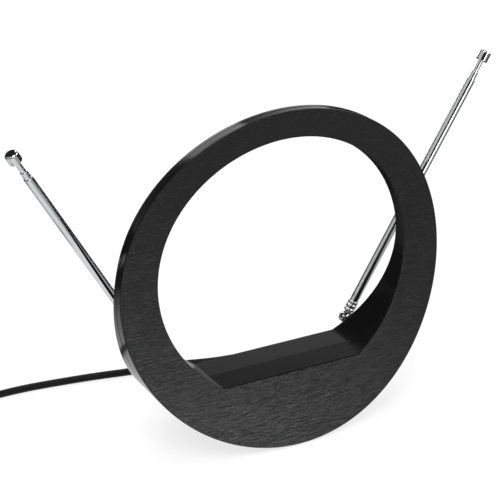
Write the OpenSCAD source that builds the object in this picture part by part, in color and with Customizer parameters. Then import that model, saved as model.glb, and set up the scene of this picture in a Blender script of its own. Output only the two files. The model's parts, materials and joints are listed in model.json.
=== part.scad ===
// Indoor ring antenna with two telescopic rods on swivels and a coaxial lead.
// Millimetres, +Z up, +Y to the back. The origin lies on the table, below the ring's centre.
// The ring frame used below has its origin at the ring's centre, Y along the ring's axis to the back
// and Z up in the ring's plane. It leans back with the ring.

/* [Ring] */
// Outer radius of the ring
ring_r = 110; // [106:0.5:118]
// Width of the ring at its sides
ring_w = 25; // [22:0.5:30]
// Height of the hole's centre above the ring's centre
hole_rise = 6.6; // [4:0.2:8]
// Height of the bar's front top edge above the ring's lowest point
bar_h = 46.5; // [42:0.5:52]
// Slope of the bar's top in front of the seam, in degrees
bar_front_slope = 3; // [1:0.5:6]
// Slope of the bar's top behind the seam, in degrees
bar_rear_slope = 1; // [0:0.5:3]
// Radius of the hollow bow of the front face
bow_r = 408; // [360:1:500]
// Thickness of the ring at its top
ring_t = 9.4; // [9:0.1:12]
// Angle by which the ring leans back
lean = 6; // [4:0.5:8]

/* [Foot] */
// Height above the ring's centre where the back starts to flare
flare_start = 26; // [20:1:32]
// Radius of the flare of the back
flare_r = 200; // [180:1:240]
// Distance from the ring's centre back to the flat rear wall
base_back = 42; // [39:0.5:46]
// Thickness of the foot pad
pad_t = 1; // [0.6:0.1:2]
// Distance from the ring's centre forward to the foot pad's front corners
pad_front = 10; // [4:0.5:12]
// Width of the rim left bare around the foot pad
pad_margin = 3; // [2:0.5:6]
// Radius of the foot pad's corners
pad_corner_r = 5; // [3:0.5:6]
// Width of the ballast plate
ballast_w = 44; // [30:1:48]
// Length of the ballast plate from front to back
ballast_l = 20; // [14:1:22]
// Thickness of the ballast plate
ballast_t = 3; // [1.5:0.5:4]

/* [Shells] */
// Wall of both shells
wall = 2; // [1.6:0.1:2.4]
// Depth of the seam between the shells, behind the ring's face
seam_depth = 5.5; // [5:0.1:6]
// Radius of the seam's sweep through the foot
seam_sweep = 1000; // [800:10:1400]
// Width of the seam line
seam_gap = 0.3; // [0.1:0.1:0.5]

/* [Case screws] */
// Radius of the case screws' thread
screw_r = 1.2; // [1:0.1:1.4]
// Radius of the case screws' heads
screw_head_r = 2.2; // [2:0.1:2.5]
// Height of the case screws' heads
screw_head_h = 1.2; // [1:0.1:1.4]
// Length of the screws around the ring
ring_screw_l = 4.6; // [4:0.1:5]
// Length of the screws in the foot
foot_screw_l = 12; // [8:0.5:16]
// Radius of the screw bosses around the ring
ring_boss_r = 2.8; // [2.5:0.1:3]
// Radius of the screw pillars in the foot
pillar_r = 4.8; // [4.4:0.1:5.4]
// Thickness of the pillar floors under the screw heads
pillar_floor = 4; // [3:0.5:6]
// Height of the foot screws above the ring's lowest point
foot_screw_rise = 26; // [22:0.5:30]

/* [Loop and board] */
// Width of the loop strip
loop_w = 6; // [4:0.5:6]
// Thickness of the loop strip
loop_t = 0.5; // [0.3:0.1:0.8]
// Half of the gap between the loop's ends
loop_gap_x = 32; // [30:1:36]
// Width of the matching board
board_w = 54; // [50:1:58]
// Height of the matching board
board_h = 26; // [22:1:28]
// Thickness of the matching board
board_t = 1.6; // [1:0.1:2]
// Distance of the board's back face behind the ring's centre
board_back = 26; // [25:0.5:30]
// Height of the board's centre above the ring's lowest point
board_rise = 24; // [23:0.5:26]
// Width of the balun core
core_w = 14; // [10:1:18]
// Height of the balun core
core_h = 8; // [6:0.5:10]
// Depth of the balun core
core_d = 7.5; // [6:0.5:9]
// Radius of the balun core's two holes
core_bore_r = 1.8; // [1.2:0.1:2.2]

/* [Swivels] */
// Angle of the pivots around the hole's centre, from straight down
pivot_angle = 44.4; // [40:0.1:46]
// Distance of the pivots behind the flared back
pivot_back = 13.3; // [12.5:0.1:18.5]
// Distance of the pivots from the boss faces
standoff = 9.6; // [9:0.1:12]
// Radius of the swivel bosses on the rear shell
boss_r = 6.5; // [6:0.1:8]
// Length of the swivel bosses
boss_l = 14; // [12:0.5:16]
// Radius of the swivel stems
stem_r = 3; // [2.5:0.1:3.5]
// Radius of the swivel flanges
flange_r = 5; // [4.5:0.1:6]
// Thickness of the swivel flanges
flange_t = 2.5; // [1.5:0.1:3]
// Radius of the fork cheeks
cheek_r = 3.4; // [3.2:0.1:4]
// Thickness of the fork cheeks
cheek_t = 1.6; // [1.2:0.1:2.2]
// Radius of the hinge pins
pin_r = 1.5; // [1:0.1:2]
// Radius of the swivel screws' thread
swivel_screw_r = 1.25; // [1:0.05:1.5]
// Length of the swivel screws' thread
swivel_screw_l = 10; // [8:0.5:12]

/* [Rods] */
// Swing of the right rod outwards from upright, in degrees
right_swing = 33.9; // [0:0.1:80]
// Swing of the left rod outwards from upright, in degrees
left_swing = 29.6; // [0:0.1:80]
// Lean of the right rod towards the ring, in degrees
right_lean = -0.2; // [-60:0.1:14]
// Lean of the left rod towards the ring, in degrees
left_lean = 11.4; // [-60:0.1:14]
// Length of a closed rod from its pivot to its tip
rod_l = 200; // [160:0.5:240]
// Outer diameter of the outer tube
rod_d = 5.8; // [5:0.1:6.4]
// Wall of the tubes
tube_wall = 0.4; // [0.3:0.05:0.5]
// Radial room between one section and the next
section_room = 0.2; // [0.15:0.01:0.3]
// Length of the middle tube that shows on a closed rod
middle_shows = 5.4; // [4:0.1:12]
// Length of the inner rod that shows on a closed rod
inner_shows = 8.4; // [4:0.1:14]
// Diameter of the tip caps
cap_d = 8.2; // [7:0.1:10]
// Length of the tip caps
cap_l = 7; // [6:0.1:10]
// Thickness of the flat tangs
tang_t = 2.4; // [1.6:0.1:3]
// Distance from the pivots to the ferrule collars
collar_start = 4.6; // [4.4:0.1:8]
// Length of the ferrule collars
collar_l = 7.4; // [5:0.1:10]
// Diameter of the ferrule collars
collar_d = 7.2; // [6.8:0.1:8]
// Length of the ferrules' spigots inside the tubes
spigot_l = 8; // [5:0.5:12]
// Length of the friction sleeves
sleeve_l = 8; // [5:0.5:12]

/* [Lead] */
// Diameter of the coaxial lead
cable_d = 5; // [4.6:0.1:5.2]
// Distance of the lead's exit to the right of the middle
exit_x = 16; // [14:0.5:18]
// Height of the lead's exit above the table
exit_z = 10; // [9.5:0.1:10.5]
// Length of the strain relief boot behind the rear wall
boot_l = 18; // [14:0.5:20]
// Radius of the boot at the rear wall
boot_r = 5.2; // [4.8:0.1:5.6]
// Radius of the boot at its tip
boot_tip_r = 3.5; // [3.1:0.1:4]
// Thickness of the coil's tie
tie_t = 0.6; // [0.4:0.1:0.8]
// Width of the coil's tie
tie_w = 9; // [6:0.5:14]

/* [Plug] */
// Radius of the plug's grip
grip_r = 6; // [5.5:0.1:7]
// Length of the plug's grip
grip_l = 24; // [18:0.5:30]
// Outer radius of the plug's collar
collar_r = 4.75; // [4.5:0.05:5]
// Wall of the plug's collar
plug_wall = 0.5; // [0.4:0.05:0.8]
// Length of the plug's collar in front of the grip
plug_collar_l = 9; // [7:0.5:11]
// Radius of the plug's centre pin
plug_pin_r = 1.15; // [1:0.05:1.3]

/* [Hidden] */
$fn = 96;
left = -1;
right = 1;
reach = 3 * ring_r;

// Clearances
run_fit = 0.05;
seat_fit = 0.02;
face_gap = 0.3;
side_gap = 0.2;
// Overrun of cuts that go right through
through = 1;

// Colours
shell_black = "#1c1c1e";
satin_black = "#161617";
chrome = "#c9ccd0";
steel = "#9a9ca0";
copper = "#b87546";
board_green = "#2c5b3c";
ferrite = "#3a3a3e";
rubber = "#222224";

// Places of the ring and of its surfaces
hole_r = ring_r - ring_w;
bar_drop = ring_r - bar_h;
flare_angle = asin(flare_start / (bow_r + ring_t));
overshoot = 1.15;
top_angle = asin(overshoot * ring_r / bow_r);
arc_steps = 24;
ring_drop = ring_r * cos(lean) + face_y(ring_r) * sin(lean);
ring_z = pad_t + ring_drop;
seam_bar_y = seam_y(-bar_drop);
bar_seam_z = -bar_drop + (seam_bar_y - face_y(bar_drop)) * tan(bar_front_slope);

// Distance of the face behind the ring's centre, at a height z
function face_y(z) = sqrt(bow_r * bow_r - z * z) - bow_r;
// Centre of the arc that sweeps a surface back through the foot
function sweep_centre(depth, sweep) =
    [(bow_r + depth + sweep) * cos(flare_angle) - bow_r, (bow_r + depth + sweep) * sin(flare_angle)];
// Distance behind the ring's centre of a swept surface, at a height z below the flare's start
function swept_y(z, depth, sweep) =
    sweep_centre(depth, sweep)[0] - sqrt(sweep * sweep - pow(z - sweep_centre(depth, sweep)[1], 2));
// The same for the part above the flare's start
function arched_y(z, depth) = sqrt(pow(bow_r + depth, 2) - z * z) - bow_r;
function seam_y(z) = z > flare_start ? arched_y(z, seam_depth) : swept_y(z, seam_depth, seam_sweep);
function back_y(z) = z > flare_start ? arched_y(z, ring_t) : swept_y(z, ring_t, flare_r);
// Points down a surface at a depth behind the face: over the bow, then back along the sweep
function surface_points(depth, sweep) = concat(
    [for (i = [0 : arc_steps]) arch_point(depth, top_angle + (flare_angle - top_angle) * i / arc_steps)],
    [for (i = [1 : arc_steps]) sweep_point(depth, sweep, sweep_angle(depth, sweep) * i / arc_steps)]
);
function arch_point(depth, a) = [(bow_r + depth) * cos(a) - bow_r, (bow_r + depth) * sin(a)];
function sweep_angle(depth, sweep) =
    asin((sweep_centre(depth, sweep)[1] + overshoot * ring_r) / sweep) - flare_angle;
function sweep_point(depth, sweep, a) =
    sweep_centre(depth, sweep) - sweep * [cos(flare_angle + a), sin(flare_angle + a)];
// Points up the face, drawn in by an inset
function face_points(inset) =
    [for (i = [-arc_steps : arc_steps]) arch_point(inset, top_angle * i / arc_steps)];
// Half the width of the foot's underside, at a distance y behind the ring's centre
function foot_half(y) = sqrt(ring_r * ring_r - pow(ring_drop * cos(lean) - y * sin(lean), 2));

// Places of the case screws, as x and z in the ring frame
screw_angles = [25, 68, 112, 155];
screw_circle = hole_r + wall + ring_boss_r;
ring_screws = [for (a = screw_angles) [screw_circle * cos(a), hole_rise + screw_circle * sin(a)]];
pillar_gap = 6;
pillar_x = board_w / 2 + pillar_r + pillar_gap;
foot_screw_z = foot_screw_rise - ring_r;
foot_screws = [for (side = [left, right]) [side * pillar_x, foot_screw_z]];
head_recess = 1.6;
head_r = screw_head_r + side_gap;
screw_hole_r = screw_r + run_fit;
pilot_skin = 0.4;

ballast_gap = 4;

// Board, loop and what holds them
board_z = board_rise - ring_r;
board_top = board_z + board_h / 2;
board_screw_inset = 6;
board_screw_x = board_w / 2 - board_screw_inset;
board_screw_z = board_top - board_screw_inset;
board_boss_r = 3;
board_screw_r = 1;
board_screw_l = 8;
board_front = board_back - board_t;
loop_room = 1.5;
loop_r = ring_r - wall - loop_room;
loop_seat = seam_depth - face_gap;
loop_post_r = 1.5;
loop_post_angles = [-35, 0, 45, 90, 135, 180, 215];
tab_h = 5;
tab_lap = 2;
tab_inset = 7;
tab_x = board_w / 2 - tab_inset;
tab_z = board_top - board_h + tab_lap;
tab_y = swept_y(tab_z, loop_seat - loop_t / 2, seam_sweep);
tab_post_r = 0.7;
core_bore_x = core_w / 4;
winding_r = 0.5;

// Swivels
boss_room = 3.1;
pivot_circle = hole_r + wall + boss_r + boss_room;
pivot_x = pivot_circle * sin(pivot_angle);
pivot_z = hole_rise - pivot_circle * cos(pivot_angle);
pivot_y = back_y(pivot_z) + pivot_back;
boss_inner = standoff + boss_l;
tag_t = 0.8;
tag_r = 5.4;
tag_l = 10;
stem_play = 0.4;
stem_end = boss_inner + tag_t + stem_play;
washer_t = 0.8;
washer_r = 5.4;
swivel_head_r = 2.6;
swivel_head_h = 2.2;
cheek_inner = tang_t / 2 + side_gap;
pin_head_rim = 1.2;
pin_head_r = pin_r + pin_head_rim;
pin_head_t = 0.9;
wire_r = 0.8;
wire_lap = 2;
wire_bow = 10;
pad_lap = 3;
pad_drop = 4.5;

function swing(side) = side > 0 ? right_swing : left_swing;
function rod_lean(side) = side > 0 ? right_lean : left_lean;

// Rods: radii, and heights above the pivot
outer_r = rod_d / 2;
outer_bore = outer_r - tube_wall;
middle_r = outer_bore - section_room;
middle_bore = middle_r - tube_wall;
inner_r = middle_bore - section_room;
tube_start = collar_start + collar_l;
cap_start = rod_l - cap_l;
middle_top = cap_start - inner_shows;
outer_top = middle_top - middle_shows;
stop_gap = 0.5;
section_step = 4;
middle_start = tube_start + spigot_l + stop_gap;
inner_start = middle_start + section_step;
neck_l = 2;
edge = 0.3;
tang_r = cheek_r - edge;
cap_seat = 4;
dimple_r = 1.2;
dimple_depth = 0.2;
dimple_count = 4;

// Lead: the route's own points lie on the table, behind the foot and to the left of it
cable_r = cable_d / 2;
boot_end = base_back + boot_l;
boot_flange_t = 1.5;
boot_groove = 1.2;
boot_neck_r = boot_r - boot_groove;
cable_inner_start = 24;
strip_l = 4;
insulation_r = 1.5;
core_r = 0.5;
cable_sides = 10;
wire_sides = 8;
coil_centre = [-222, 67.5];
coil_r = 38.5;
coil_turns = 6.25;
coil_steps = 24;
coil_sides = 6;
turn_gap = 0.6;
coil_pitch = cable_d + turn_gap;
coil_z = cable_r + tie_t + face_gap;
climb_turns = 0.5;
tail_x = coil_centre[0] - coil_r;
tail_z = coil_z + coil_pitch;
plug_y = 18;
grip_edge = 1;
grip_taper = 8;
lead_route = [
    [exit_x, boot_end, exit_z],
    [exit_x, boot_end + 4, exit_z],
    [15.5, 68.5, 9.6],
    [13.4, 73, 8.6],
    [9.6, 77.2, 7.2],
    [4.5, 81, 5.6],
    [-1.8, 84.2, 4.2],
    [-9.5, 87.2, 3.2],
    [-18, 90.2, 2.7],
    [-28, 93.2, 2.6],
    [-42, 96.4, 2.6],
    [-56, 98.8, 2.6],
    [-70, 101.2, 2.6],
    [-84, 104, 2.6],
    [-98, 106.4, 2.6],
    [-112, 108.4, 2.6],
    [-126, 110.2, 2.6],
    [-140, 111.4, 2.6],
    [-155, 111.6, 2.6],
    [-170, 110.6, 2.6],
    [-185, 108.8, 2.8],
    [-200, 107, 3.2],
    [coil_centre[0] + 2 * cable_d, coil_centre[1] + coil_r, coil_z],
    [coil_centre[0] + cable_d, coil_centre[1] + coil_r, coil_z]
];
tail_route = [
    [tail_x, coil_centre[1] - cable_d, tail_z],
    [tail_x, coil_centre[1] - 2 * cable_d, tail_z],
    [tail_x, 48, 8],
    [tail_x, 38, 6.6],
    [tail_x, plug_y + 2 * cable_d, grip_r],
    [tail_x, plug_y, grip_r]
];

// The coil spirals in on the table, climbs a layer where the spiral turns, and spirals out again
function ease(s) = s < 0 ? 0 : s > 1 ? 1 : (1 - cos(180 * s)) / 2;
function coil_radius(t) = coil_r - coil_pitch * min(t, coil_turns - t);
function coil_height(t) = coil_z + coil_pitch * ease((t - coil_turns / 2) / climb_turns + 1 / 2);
function coil_point(t) = [
    coil_centre[0] + coil_radius(t) * cos(90 + 360 * t),
    coil_centre[1] + coil_radius(t) * sin(90 + 360 * t),
    coil_height(t)
];
coil_turn_points = [for (i = [0 : coil_turns * coil_steps]) coil_point(i / coil_steps)];
coil_route = concat(
    [lead_route[len(lead_route) - 1]],
    coil_turn_points,
    [tail_route[0]]
);
coil_gaps = [
    for (i = [0 : len(coil_turn_points) - 1])
        for (j = [i + coil_steps / 2 : len(coil_turn_points) - 1])
            norm(coil_turn_points[i] - coil_turn_points[j]) - cable_d
];
echo(str("Least gap between the coil's turns: ", min(coil_gaps), " mm"));

// A tube of the given sides along a route
function unit(v) = v / norm(v);
function heading(route, i) = unit(route[min(i + 1, len(route) - 1)] - route[max(i - 1, 0)]);
function aside(way) = unit(cross(way, [0, 0, 1]));
function ring_point(route, i, r, a) =
    route[i]
    + r * cos(a) * aside(heading(route, i))
    + r * sin(a) * cross(aside(heading(route, i)), heading(route, i));

module tube(route, r, sides) {
    rings = len(route);
    last = (rings - 1) * sides;
    points = [
        for (i = [0 : rings - 1])
            for (j = [0 : sides - 1]) ring_point(route, i, r, 360 * j / sides)
    ];
    walls = [
        for (i = [0 : rings - 2])
            for (j = [0 : sides - 1])
                let (a = i * sides + j, b = i * sides + (j + 1) % sides)
                    each [[a, b, b + sides], [a, b + sides, a + sides]]
    ];
    ends = [
        for (j = [1 : sides - 2])
            each [[0, j + 1, j], [last, last + j, last + j + 1]]
    ];
    polyhedron(points, concat(walls, ends), convexity = 10);
}

// Frames that the pieces are made in
module ring_frame() {
    translate([0, 0, ring_z]) rotate([-lean, 0, 0]) children();
}

module at_boss(side) {
    ring_frame() translate([side * pivot_x, pivot_y, pivot_z]) children();
}

module at_pivot(side) {
    at_boss(side) rotate([0, side * swing(side), 0]) children();
}

module along_rod(side) {
    at_pivot(side) rotate([rod_lean(side), 0, 0]) children();
}

// A round bar along the ring's axis, from one distance behind the centre to another
module bar_y(r, from, to) {
    translate([0, from, 0]) rotate([-90, 0, 0]) cylinder(r = r, h = to - from);
}

// A round bar along X, centred
module bar_x(r, l) {
    rotate([0, 90, 0]) cylinder(r = r, h = l, center = true);
}

// An outline in Y and Z, drawn out along X
module along_x(l) {
    rotate([90, 0, 90]) linear_extrude(l, center = true) children();
}

// A revolved outline of radius and distance, about the Y axis
module revolved_y() {
    rotate([-90, 0, 0]) rotate_extrude() children();
}

// A pan head screw along Y: the head lies behind the seat at y = 0, the thread in front of it
module pan_screw(r, l, head_r, head_h) {
    slot_w = r / 2;
    difference() {
        union() {
            revolved_y() polygon([
                [0, 0], [head_r, 0], [head_r, head_h / 2], [head_r - head_h / 2, head_h], [0, head_h]
            ]);
            bar_y(r, -l, head_h / 2);
        }
        for (a = [0, 90])
            rotate([0, a, 0]) translate([-head_r / 2, head_h / 2, -slot_w / 2])
                cube([head_r, head_h, slot_w]);
    }
}

// All that lies in front of a surface at a depth behind the face, seen from the side
module in_front_of(depth, sweep) {
    surface = surface_points(depth, sweep);
    polygon(concat(surface, [[-reach, surface[len(surface) - 1][1]], [-reach, surface[0][1]]]));
}

// The side of the ring and foot, drawn in by an inset
module side_outline(inset) {
    polygon(concat(surface_points(ring_t - inset, flare_r + inset), face_points(inset)));
}

// The hole in the ring, with the bar's sloping top as its floor
module hole(inset) {
    intersection() {
        translate([0, 0, hole_rise]) bar_y(hole_r + inset, -reach, reach);
        along_x(2 * reach) translate([0, -inset]) polygon([
            [seam_bar_y - reach, bar_seam_z - reach * tan(bar_front_slope)],
            [seam_bar_y, bar_seam_z],
            [seam_bar_y + reach, bar_seam_z + reach * tan(bar_rear_slope)],
            [seam_bar_y + reach, reach],
            [seam_bar_y - reach, reach]
        ]);
    }
}

// The whole ring and foot as one solid, drawn in by an inset
module ring_solid(inset) {
    intersection() {
        ring_frame() difference() {
            intersection() {
                bar_y(ring_r - inset, -reach, reach);
                along_x(2 * reach) side_outline(inset);
            }
            hole(inset);
        }
        translate([-reach, -reach, pad_t + inset])
            cube([2 * reach, reach + base_back - inset, 2 * reach]);
    }
}

module in_front_of_seam(behind) {
    ring_frame() along_x(2 * reach) in_front_of(seam_depth + behind, seam_sweep - behind);
}

// Sub-parts

module front_shell() {
    color(shell_black) difference() {
        union() {
            difference() {
                intersection() {
                    ring_solid(0);
                    in_front_of_seam(0);
                }
                ring_solid(wall);
            }
            intersection() {
                ring_frame() {
                    for (p = ring_screws) translate([p[0], 0, p[1]]) bar_y(ring_boss_r, -reach, reach);
                    for (p = foot_screws) translate([p[0], 0, p[1]]) bar_y(pillar_r, -reach, reach);
                }
                ring_solid(wall / 2);
                in_front_of_seam(0);
            }
        }
        ring_frame() {
            for (p = ring_screws)
                translate([p[0], face_y(p[1]) + wall + pilot_skin, p[1]]) bar_y(screw_hole_r, 0, reach);
            for (p = foot_screws)
                translate([p[0], face_y(p[1]) + wall + pilot_skin, p[1]]) bar_y(screw_hole_r, 0, reach);
        }
    }
}

module rear_shell() {
    color(shell_black) difference() {
        union() {
            difference() {
                ring_solid(0);
                in_front_of_seam(seam_gap);
                ring_solid(wall);
            }
            rear_bosses();
            for (side = [left, right])
                at_boss(side) bar_y(boss_r, -boss_inner, -standoff);
        }
        rear_holes();
    }
}

// Pillars, posts and bosses inside the rear shell
module rear_bosses() {
    intersection() {
        difference() {
            ring_frame() {
                for (p = ring_screws) translate([p[0], 0, p[1]]) bar_y(ring_boss_r, -reach, reach);
                for (p = foot_screws) translate([p[0], 0, p[1]]) bar_y(pillar_r, -reach, reach);
            }
            in_front_of_seam(0);
        }
        ring_solid(wall / 2);
    }
    intersection() {
        difference() {
            ring_frame() for (a = loop_post_angles)
                rotate([0, -a, 0]) translate([loop_r - loop_w / 2, 0, 0]) bar_y(loop_post_r, -reach, reach);
            in_front_of_seam(-face_gap);
        }
        ring_solid(wall / 2);
    }
    intersection() {
        ring_frame() for (side = [left, right])
            translate([side * board_screw_x, board_back, board_screw_z]) bar_y(board_boss_r, 0, reach);
        ring_solid(wall / 2);
    }
}

// Holes for the screws, the swivel stems and the lead
module rear_holes() {
    ring_frame() {
        for (p = ring_screws) translate([p[0], back_y(p[1]), p[1]]) {
            bar_y(screw_hole_r, -reach, reach);
            bar_y(head_r, -head_recess, reach);
        }
        for (p = foot_screws) translate([p[0], seam_y(p[1]), p[1]]) {
            bar_y(screw_hole_r, -reach, reach);
            bar_y(head_r, pillar_floor, reach);
        }
        for (side = [left, right])
            translate([side * board_screw_x, board_back, board_screw_z])
                bar_y(board_screw_r + run_fit, -through, board_screw_l);
    }
    for (side = [left, right])
        at_boss(side) bar_y(stem_r + run_fit, -reach, reach);
    translate([exit_x, base_back, exit_z]) bar_y(boot_neck_r + run_fit, -2 * wall, reach);
}

module foot_pad() {
    front_y = -pad_front;
    rear_y = base_back - pad_margin - pad_corner_r;
    color(rubber) linear_extrude(pad_t) hull()
        for (side = [left, right])
            for (y = [front_y, rear_y])
                translate([side * (foot_half(y) - pad_margin - pad_corner_r), y])
                    circle(pad_corner_r, $fn = 32);
}

module ballast_plate() {
    color(steel) translate([-ballast_w / 2, base_back - wall - ballast_gap - ballast_l, pad_t + wall])
        cube([ballast_w, ballast_l, ballast_t]);
}

module case_screws() {
    color(steel) ring_frame() {
        for (p = ring_screws) translate([p[0], back_y(p[1]) - head_recess, p[1]])
            pan_screw(screw_r, ring_screw_l, screw_head_r, screw_head_h);
        for (p = foot_screws) translate([p[0], seam_y(p[1]) + pillar_floor, p[1]])
            pan_screw(screw_r, foot_screw_l, screw_head_r, screw_head_h);
    }
}

module loop_strip() {
    color(copper) ring_frame() {
        intersection() {
            along_x(2 * reach) difference() {
                in_front_of(loop_seat, seam_sweep + face_gap);
                in_front_of(loop_seat - loop_t, seam_sweep + face_gap + loop_t);
            }
            union() {
                difference() {
                    bar_y(loop_r, -reach, reach);
                    bar_y(loop_r - loop_w, -reach, reach);
                    translate([-loop_gap_x, -reach, -reach]) cube([2 * loop_gap_x, 2 * reach, reach]);
                }
                for (side = [left, right])
                    translate([side * (tab_x + loop_gap_x + tab_lap) / 2, 0, tab_z])
                        cube([loop_gap_x + tab_lap - tab_x, 2 * reach, tab_h], center = true);
            }
        }
        for (side = [left, right])
            translate([side * (tab_x + tab_lap), tab_y, tab_z])
                bar_y(tab_post_r, 0, board_front - tab_y);
    }
}

module circuit_board() {
    color(board_green) ring_frame() difference() {
        translate([-board_w / 2, board_front, board_top - board_h]) cube([board_w, board_t, board_h]);
        for (side = [left, right])
            translate([side * board_screw_x, board_front, board_screw_z])
                bar_y(board_screw_r + run_fit, -through, board_t + through);
    }
}

module board_screws() {
    color(steel) ring_frame() for (side = [left, right])
        translate([side * board_screw_x, board_front, board_screw_z]) rotate([0, 0, 180])
            pan_screw(board_screw_r, board_screw_l, 2 * board_screw_r, board_screw_r);
}

module balun_core() {
    color(ferrite) ring_frame() translate([0, board_front - core_d / 2, board_z]) difference() {
        cube([core_w, core_d, core_h], center = true);
        for (side = [left, right])
            translate([side * core_bore_x, 0, 0])
                cylinder(r = core_bore_r, h = 2 * core_h, center = true);
    }
}

// One turn of wire up one hole of the core and down the other
module balun_winding() {
    bend_z = core_h / 2 + 2 * winding_r;
    color(copper) ring_frame() translate([0, board_front - core_d / 2, board_z]) {
        for (side = [left, right]) translate([side * core_bore_x, 0, 0])
            cylinder(r = winding_r, h = 2 * bend_z, center = true);
        for (level = [-bend_z, bend_z]) translate([0, 0, level]) {
            bar_x(winding_r, 2 * core_bore_x);
            for (side = [left, right]) translate([side * core_bore_x, 0, 0]) sphere(winding_r);
        }
    }
}

module contact_tag(side) {
    color(steel) at_boss(side) difference() {
        union() {
            bar_y(tag_r, -boss_inner - tag_t, -boss_inner);
            translate([-side * tag_l / 2, -boss_inner - tag_t / 2, 0])
                cube([tag_l, tag_t, 2 * stem_r], center = true);
        }
        bar_y(stem_r + run_fit, -reach, reach);
    }
}

module lead_wire(side) {
    tag_y = pivot_y - boss_inner - tag_t - wire_r - seat_fit;
    pad_y = board_front - wire_r - seat_fit;
    pad_z = board_top - pad_drop;
    color("#8c2f2a") ring_frame() tube([
        [side * (pivot_x - tag_l + wire_lap), tag_y, pivot_z],
        [side * (pivot_x - tag_l - wire_lap), tag_y, pivot_z - wire_lap],
        [side * (board_w / 2 + wire_bow), (tag_y + pad_y) / 2, (pivot_z + pad_z) / 2 - wire_lap],
        [side * (board_w / 2 + pad_lap), pad_y, pad_z + wire_r],
        [side * (board_w / 2 - pad_lap), pad_y, pad_z]
    ], wire_r, wire_sides);
}

module swivel_fork(side) {
    color(chrome) at_pivot(side) difference() {
        union() {
            bar_y(stem_r, -stem_end, -standoff + face_gap);
            bar_y(flange_r, -standoff + face_gap, -standoff + face_gap + flange_t);
            for (cheek = [left, right])
                translate([cheek * (cheek_inner + cheek_t / 2), 0, 0]) {
                    bar_x(cheek_r, cheek_t);
                    along_x(cheek_t) translate([-standoff + face_gap + flange_t - edge, -cheek_r])
                        square([standoff - face_gap - flange_t + edge, 2 * cheek_r]);
                }
        }
        bar_x(pin_r + run_fit, reach);
        bar_y(swivel_screw_r + run_fit, -stem_end - through, -stem_end + swivel_screw_l + through);
    }
}

module swivel_washer(side) {
    color(steel) at_pivot(side) difference() {
        bar_y(washer_r, -stem_end - washer_t, -stem_end);
        bar_y(swivel_screw_r + run_fit, -reach, reach);
    }
}

module swivel_screw(side) {
    color(steel) at_pivot(side) translate([0, -stem_end - washer_t, 0]) rotate([0, 0, 180])
        pan_screw(swivel_screw_r, swivel_screw_l, swivel_head_r, swivel_head_h);
}

module hinge_pin(side) {
    fork_half = cheek_inner + cheek_t;
    color(chrome) at_pivot(side) {
        bar_x(pin_r, 2 * fork_half);
        for (end = [0, 180]) rotate([0, end, 0]) translate([fork_half, 0, 0]) rotate([0, 90, 0])
            rotate_extrude() polygon([
                [0, 0],
                [pin_head_r, 0],
                [pin_head_r, edge],
                [pin_head_r - 2 * edge, pin_head_t],
                [0, pin_head_t]
            ]);
    }
}

module rod_ferrule(side) {
    groove = edge;
    rib = collar_l / 5;
    color(chrome) along_rod(side) difference() {
        union() {
            bar_x(tang_r, tang_t);
            along_x(tang_t) translate([-tang_r * 3 / 4, 0]) square([tang_r * 3 / 2, collar_start + edge]);
            rotate_extrude() polygon([
                [0, collar_start],
                [collar_d / 2 - edge, collar_start],
                [collar_d / 2, collar_start + edge],
                for (i = [1, 3]) each [
                    [collar_d / 2, collar_start + i * rib],
                    [collar_d / 2 - groove, collar_start + i * rib + groove],
                    [collar_d / 2 - groove, collar_start + (i + 1) * rib - groove],
                    [collar_d / 2, collar_start + (i + 1) * rib]
                ],
                [collar_d / 2, tube_start - edge],
                [collar_d / 2 - edge, tube_start],
                [outer_bore - seat_fit, tube_start],
                [outer_bore - seat_fit, tube_start + spigot_l],
                [0, tube_start + spigot_l]
            ]);
        }
        bar_x(pin_r + run_fit, reach);
    }
}

// A tube section whose mouth is rolled in around the section that slides in it
module rolled_tube(r, bore, mouth, from, to) {
    rotate_extrude() polygon([
        [bore, from],
        [r, from],
        [r, to - edge],
        [r - edge * 2 / 3, to],
        [mouth, to],
        [mouth, to - neck_l],
        [bore, to - neck_l - edge]
    ]);
}

module outer_tube(side) {
    color(chrome) along_rod(side) difference() {
        rolled_tube(outer_r, outer_bore, middle_r + run_fit, tube_start, outer_top);
        for (i = [0 : dimple_count - 1]) rotate([0, 0, 360 * i / dimple_count])
            translate([outer_r + dimple_r - dimple_depth, 0, tube_start + spigot_l / 2]) sphere(dimple_r);
    }
}

module middle_tube(side) {
    color(chrome) along_rod(side)
        rolled_tube(middle_r, middle_bore, inner_r + run_fit, middle_start, middle_top);
}

module inner_rod(side) {
    color(chrome) along_rod(side) translate([0, 0, inner_start])
        cylinder(r = inner_r, h = cap_start + cap_seat - inner_start);
}

module tip_cap(side) {
    round = 4 * edge;
    color(chrome) along_rod(side) rotate_extrude() polygon([
        [inner_r + seat_fit, cap_start],
        [cap_d / 2 - edge, cap_start],
        [cap_d / 2, cap_start + edge],
        [cap_d / 2, rod_l - round],
        for (a = [30 : 30 : 90]) [cap_d / 2 - round * (1 - cos(a)), rod_l - round * (1 - sin(a))],
        [0, rod_l],
        [0, cap_start + cap_seat + edge],
        [inner_r + seat_fit, cap_start + cap_seat + edge]
    ]);
}

// A thin friction sleeve around the lower end of a sliding section
module friction_sleeve(r, bore, from) {
    translate([0, 0, from]) difference() {
        cylinder(r = bore - run_fit, h = sleeve_l);
        translate([0, 0, -through]) cylinder(r = r + seat_fit, h = sleeve_l + 2 * through);
    }
}

module middle_sleeve(side) {
    color(copper) along_rod(side) friction_sleeve(middle_r, outer_bore, middle_start);
}

module inner_sleeve(side) {
    color(copper) along_rod(side) friction_sleeve(inner_r, middle_bore, inner_start);
}

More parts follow.
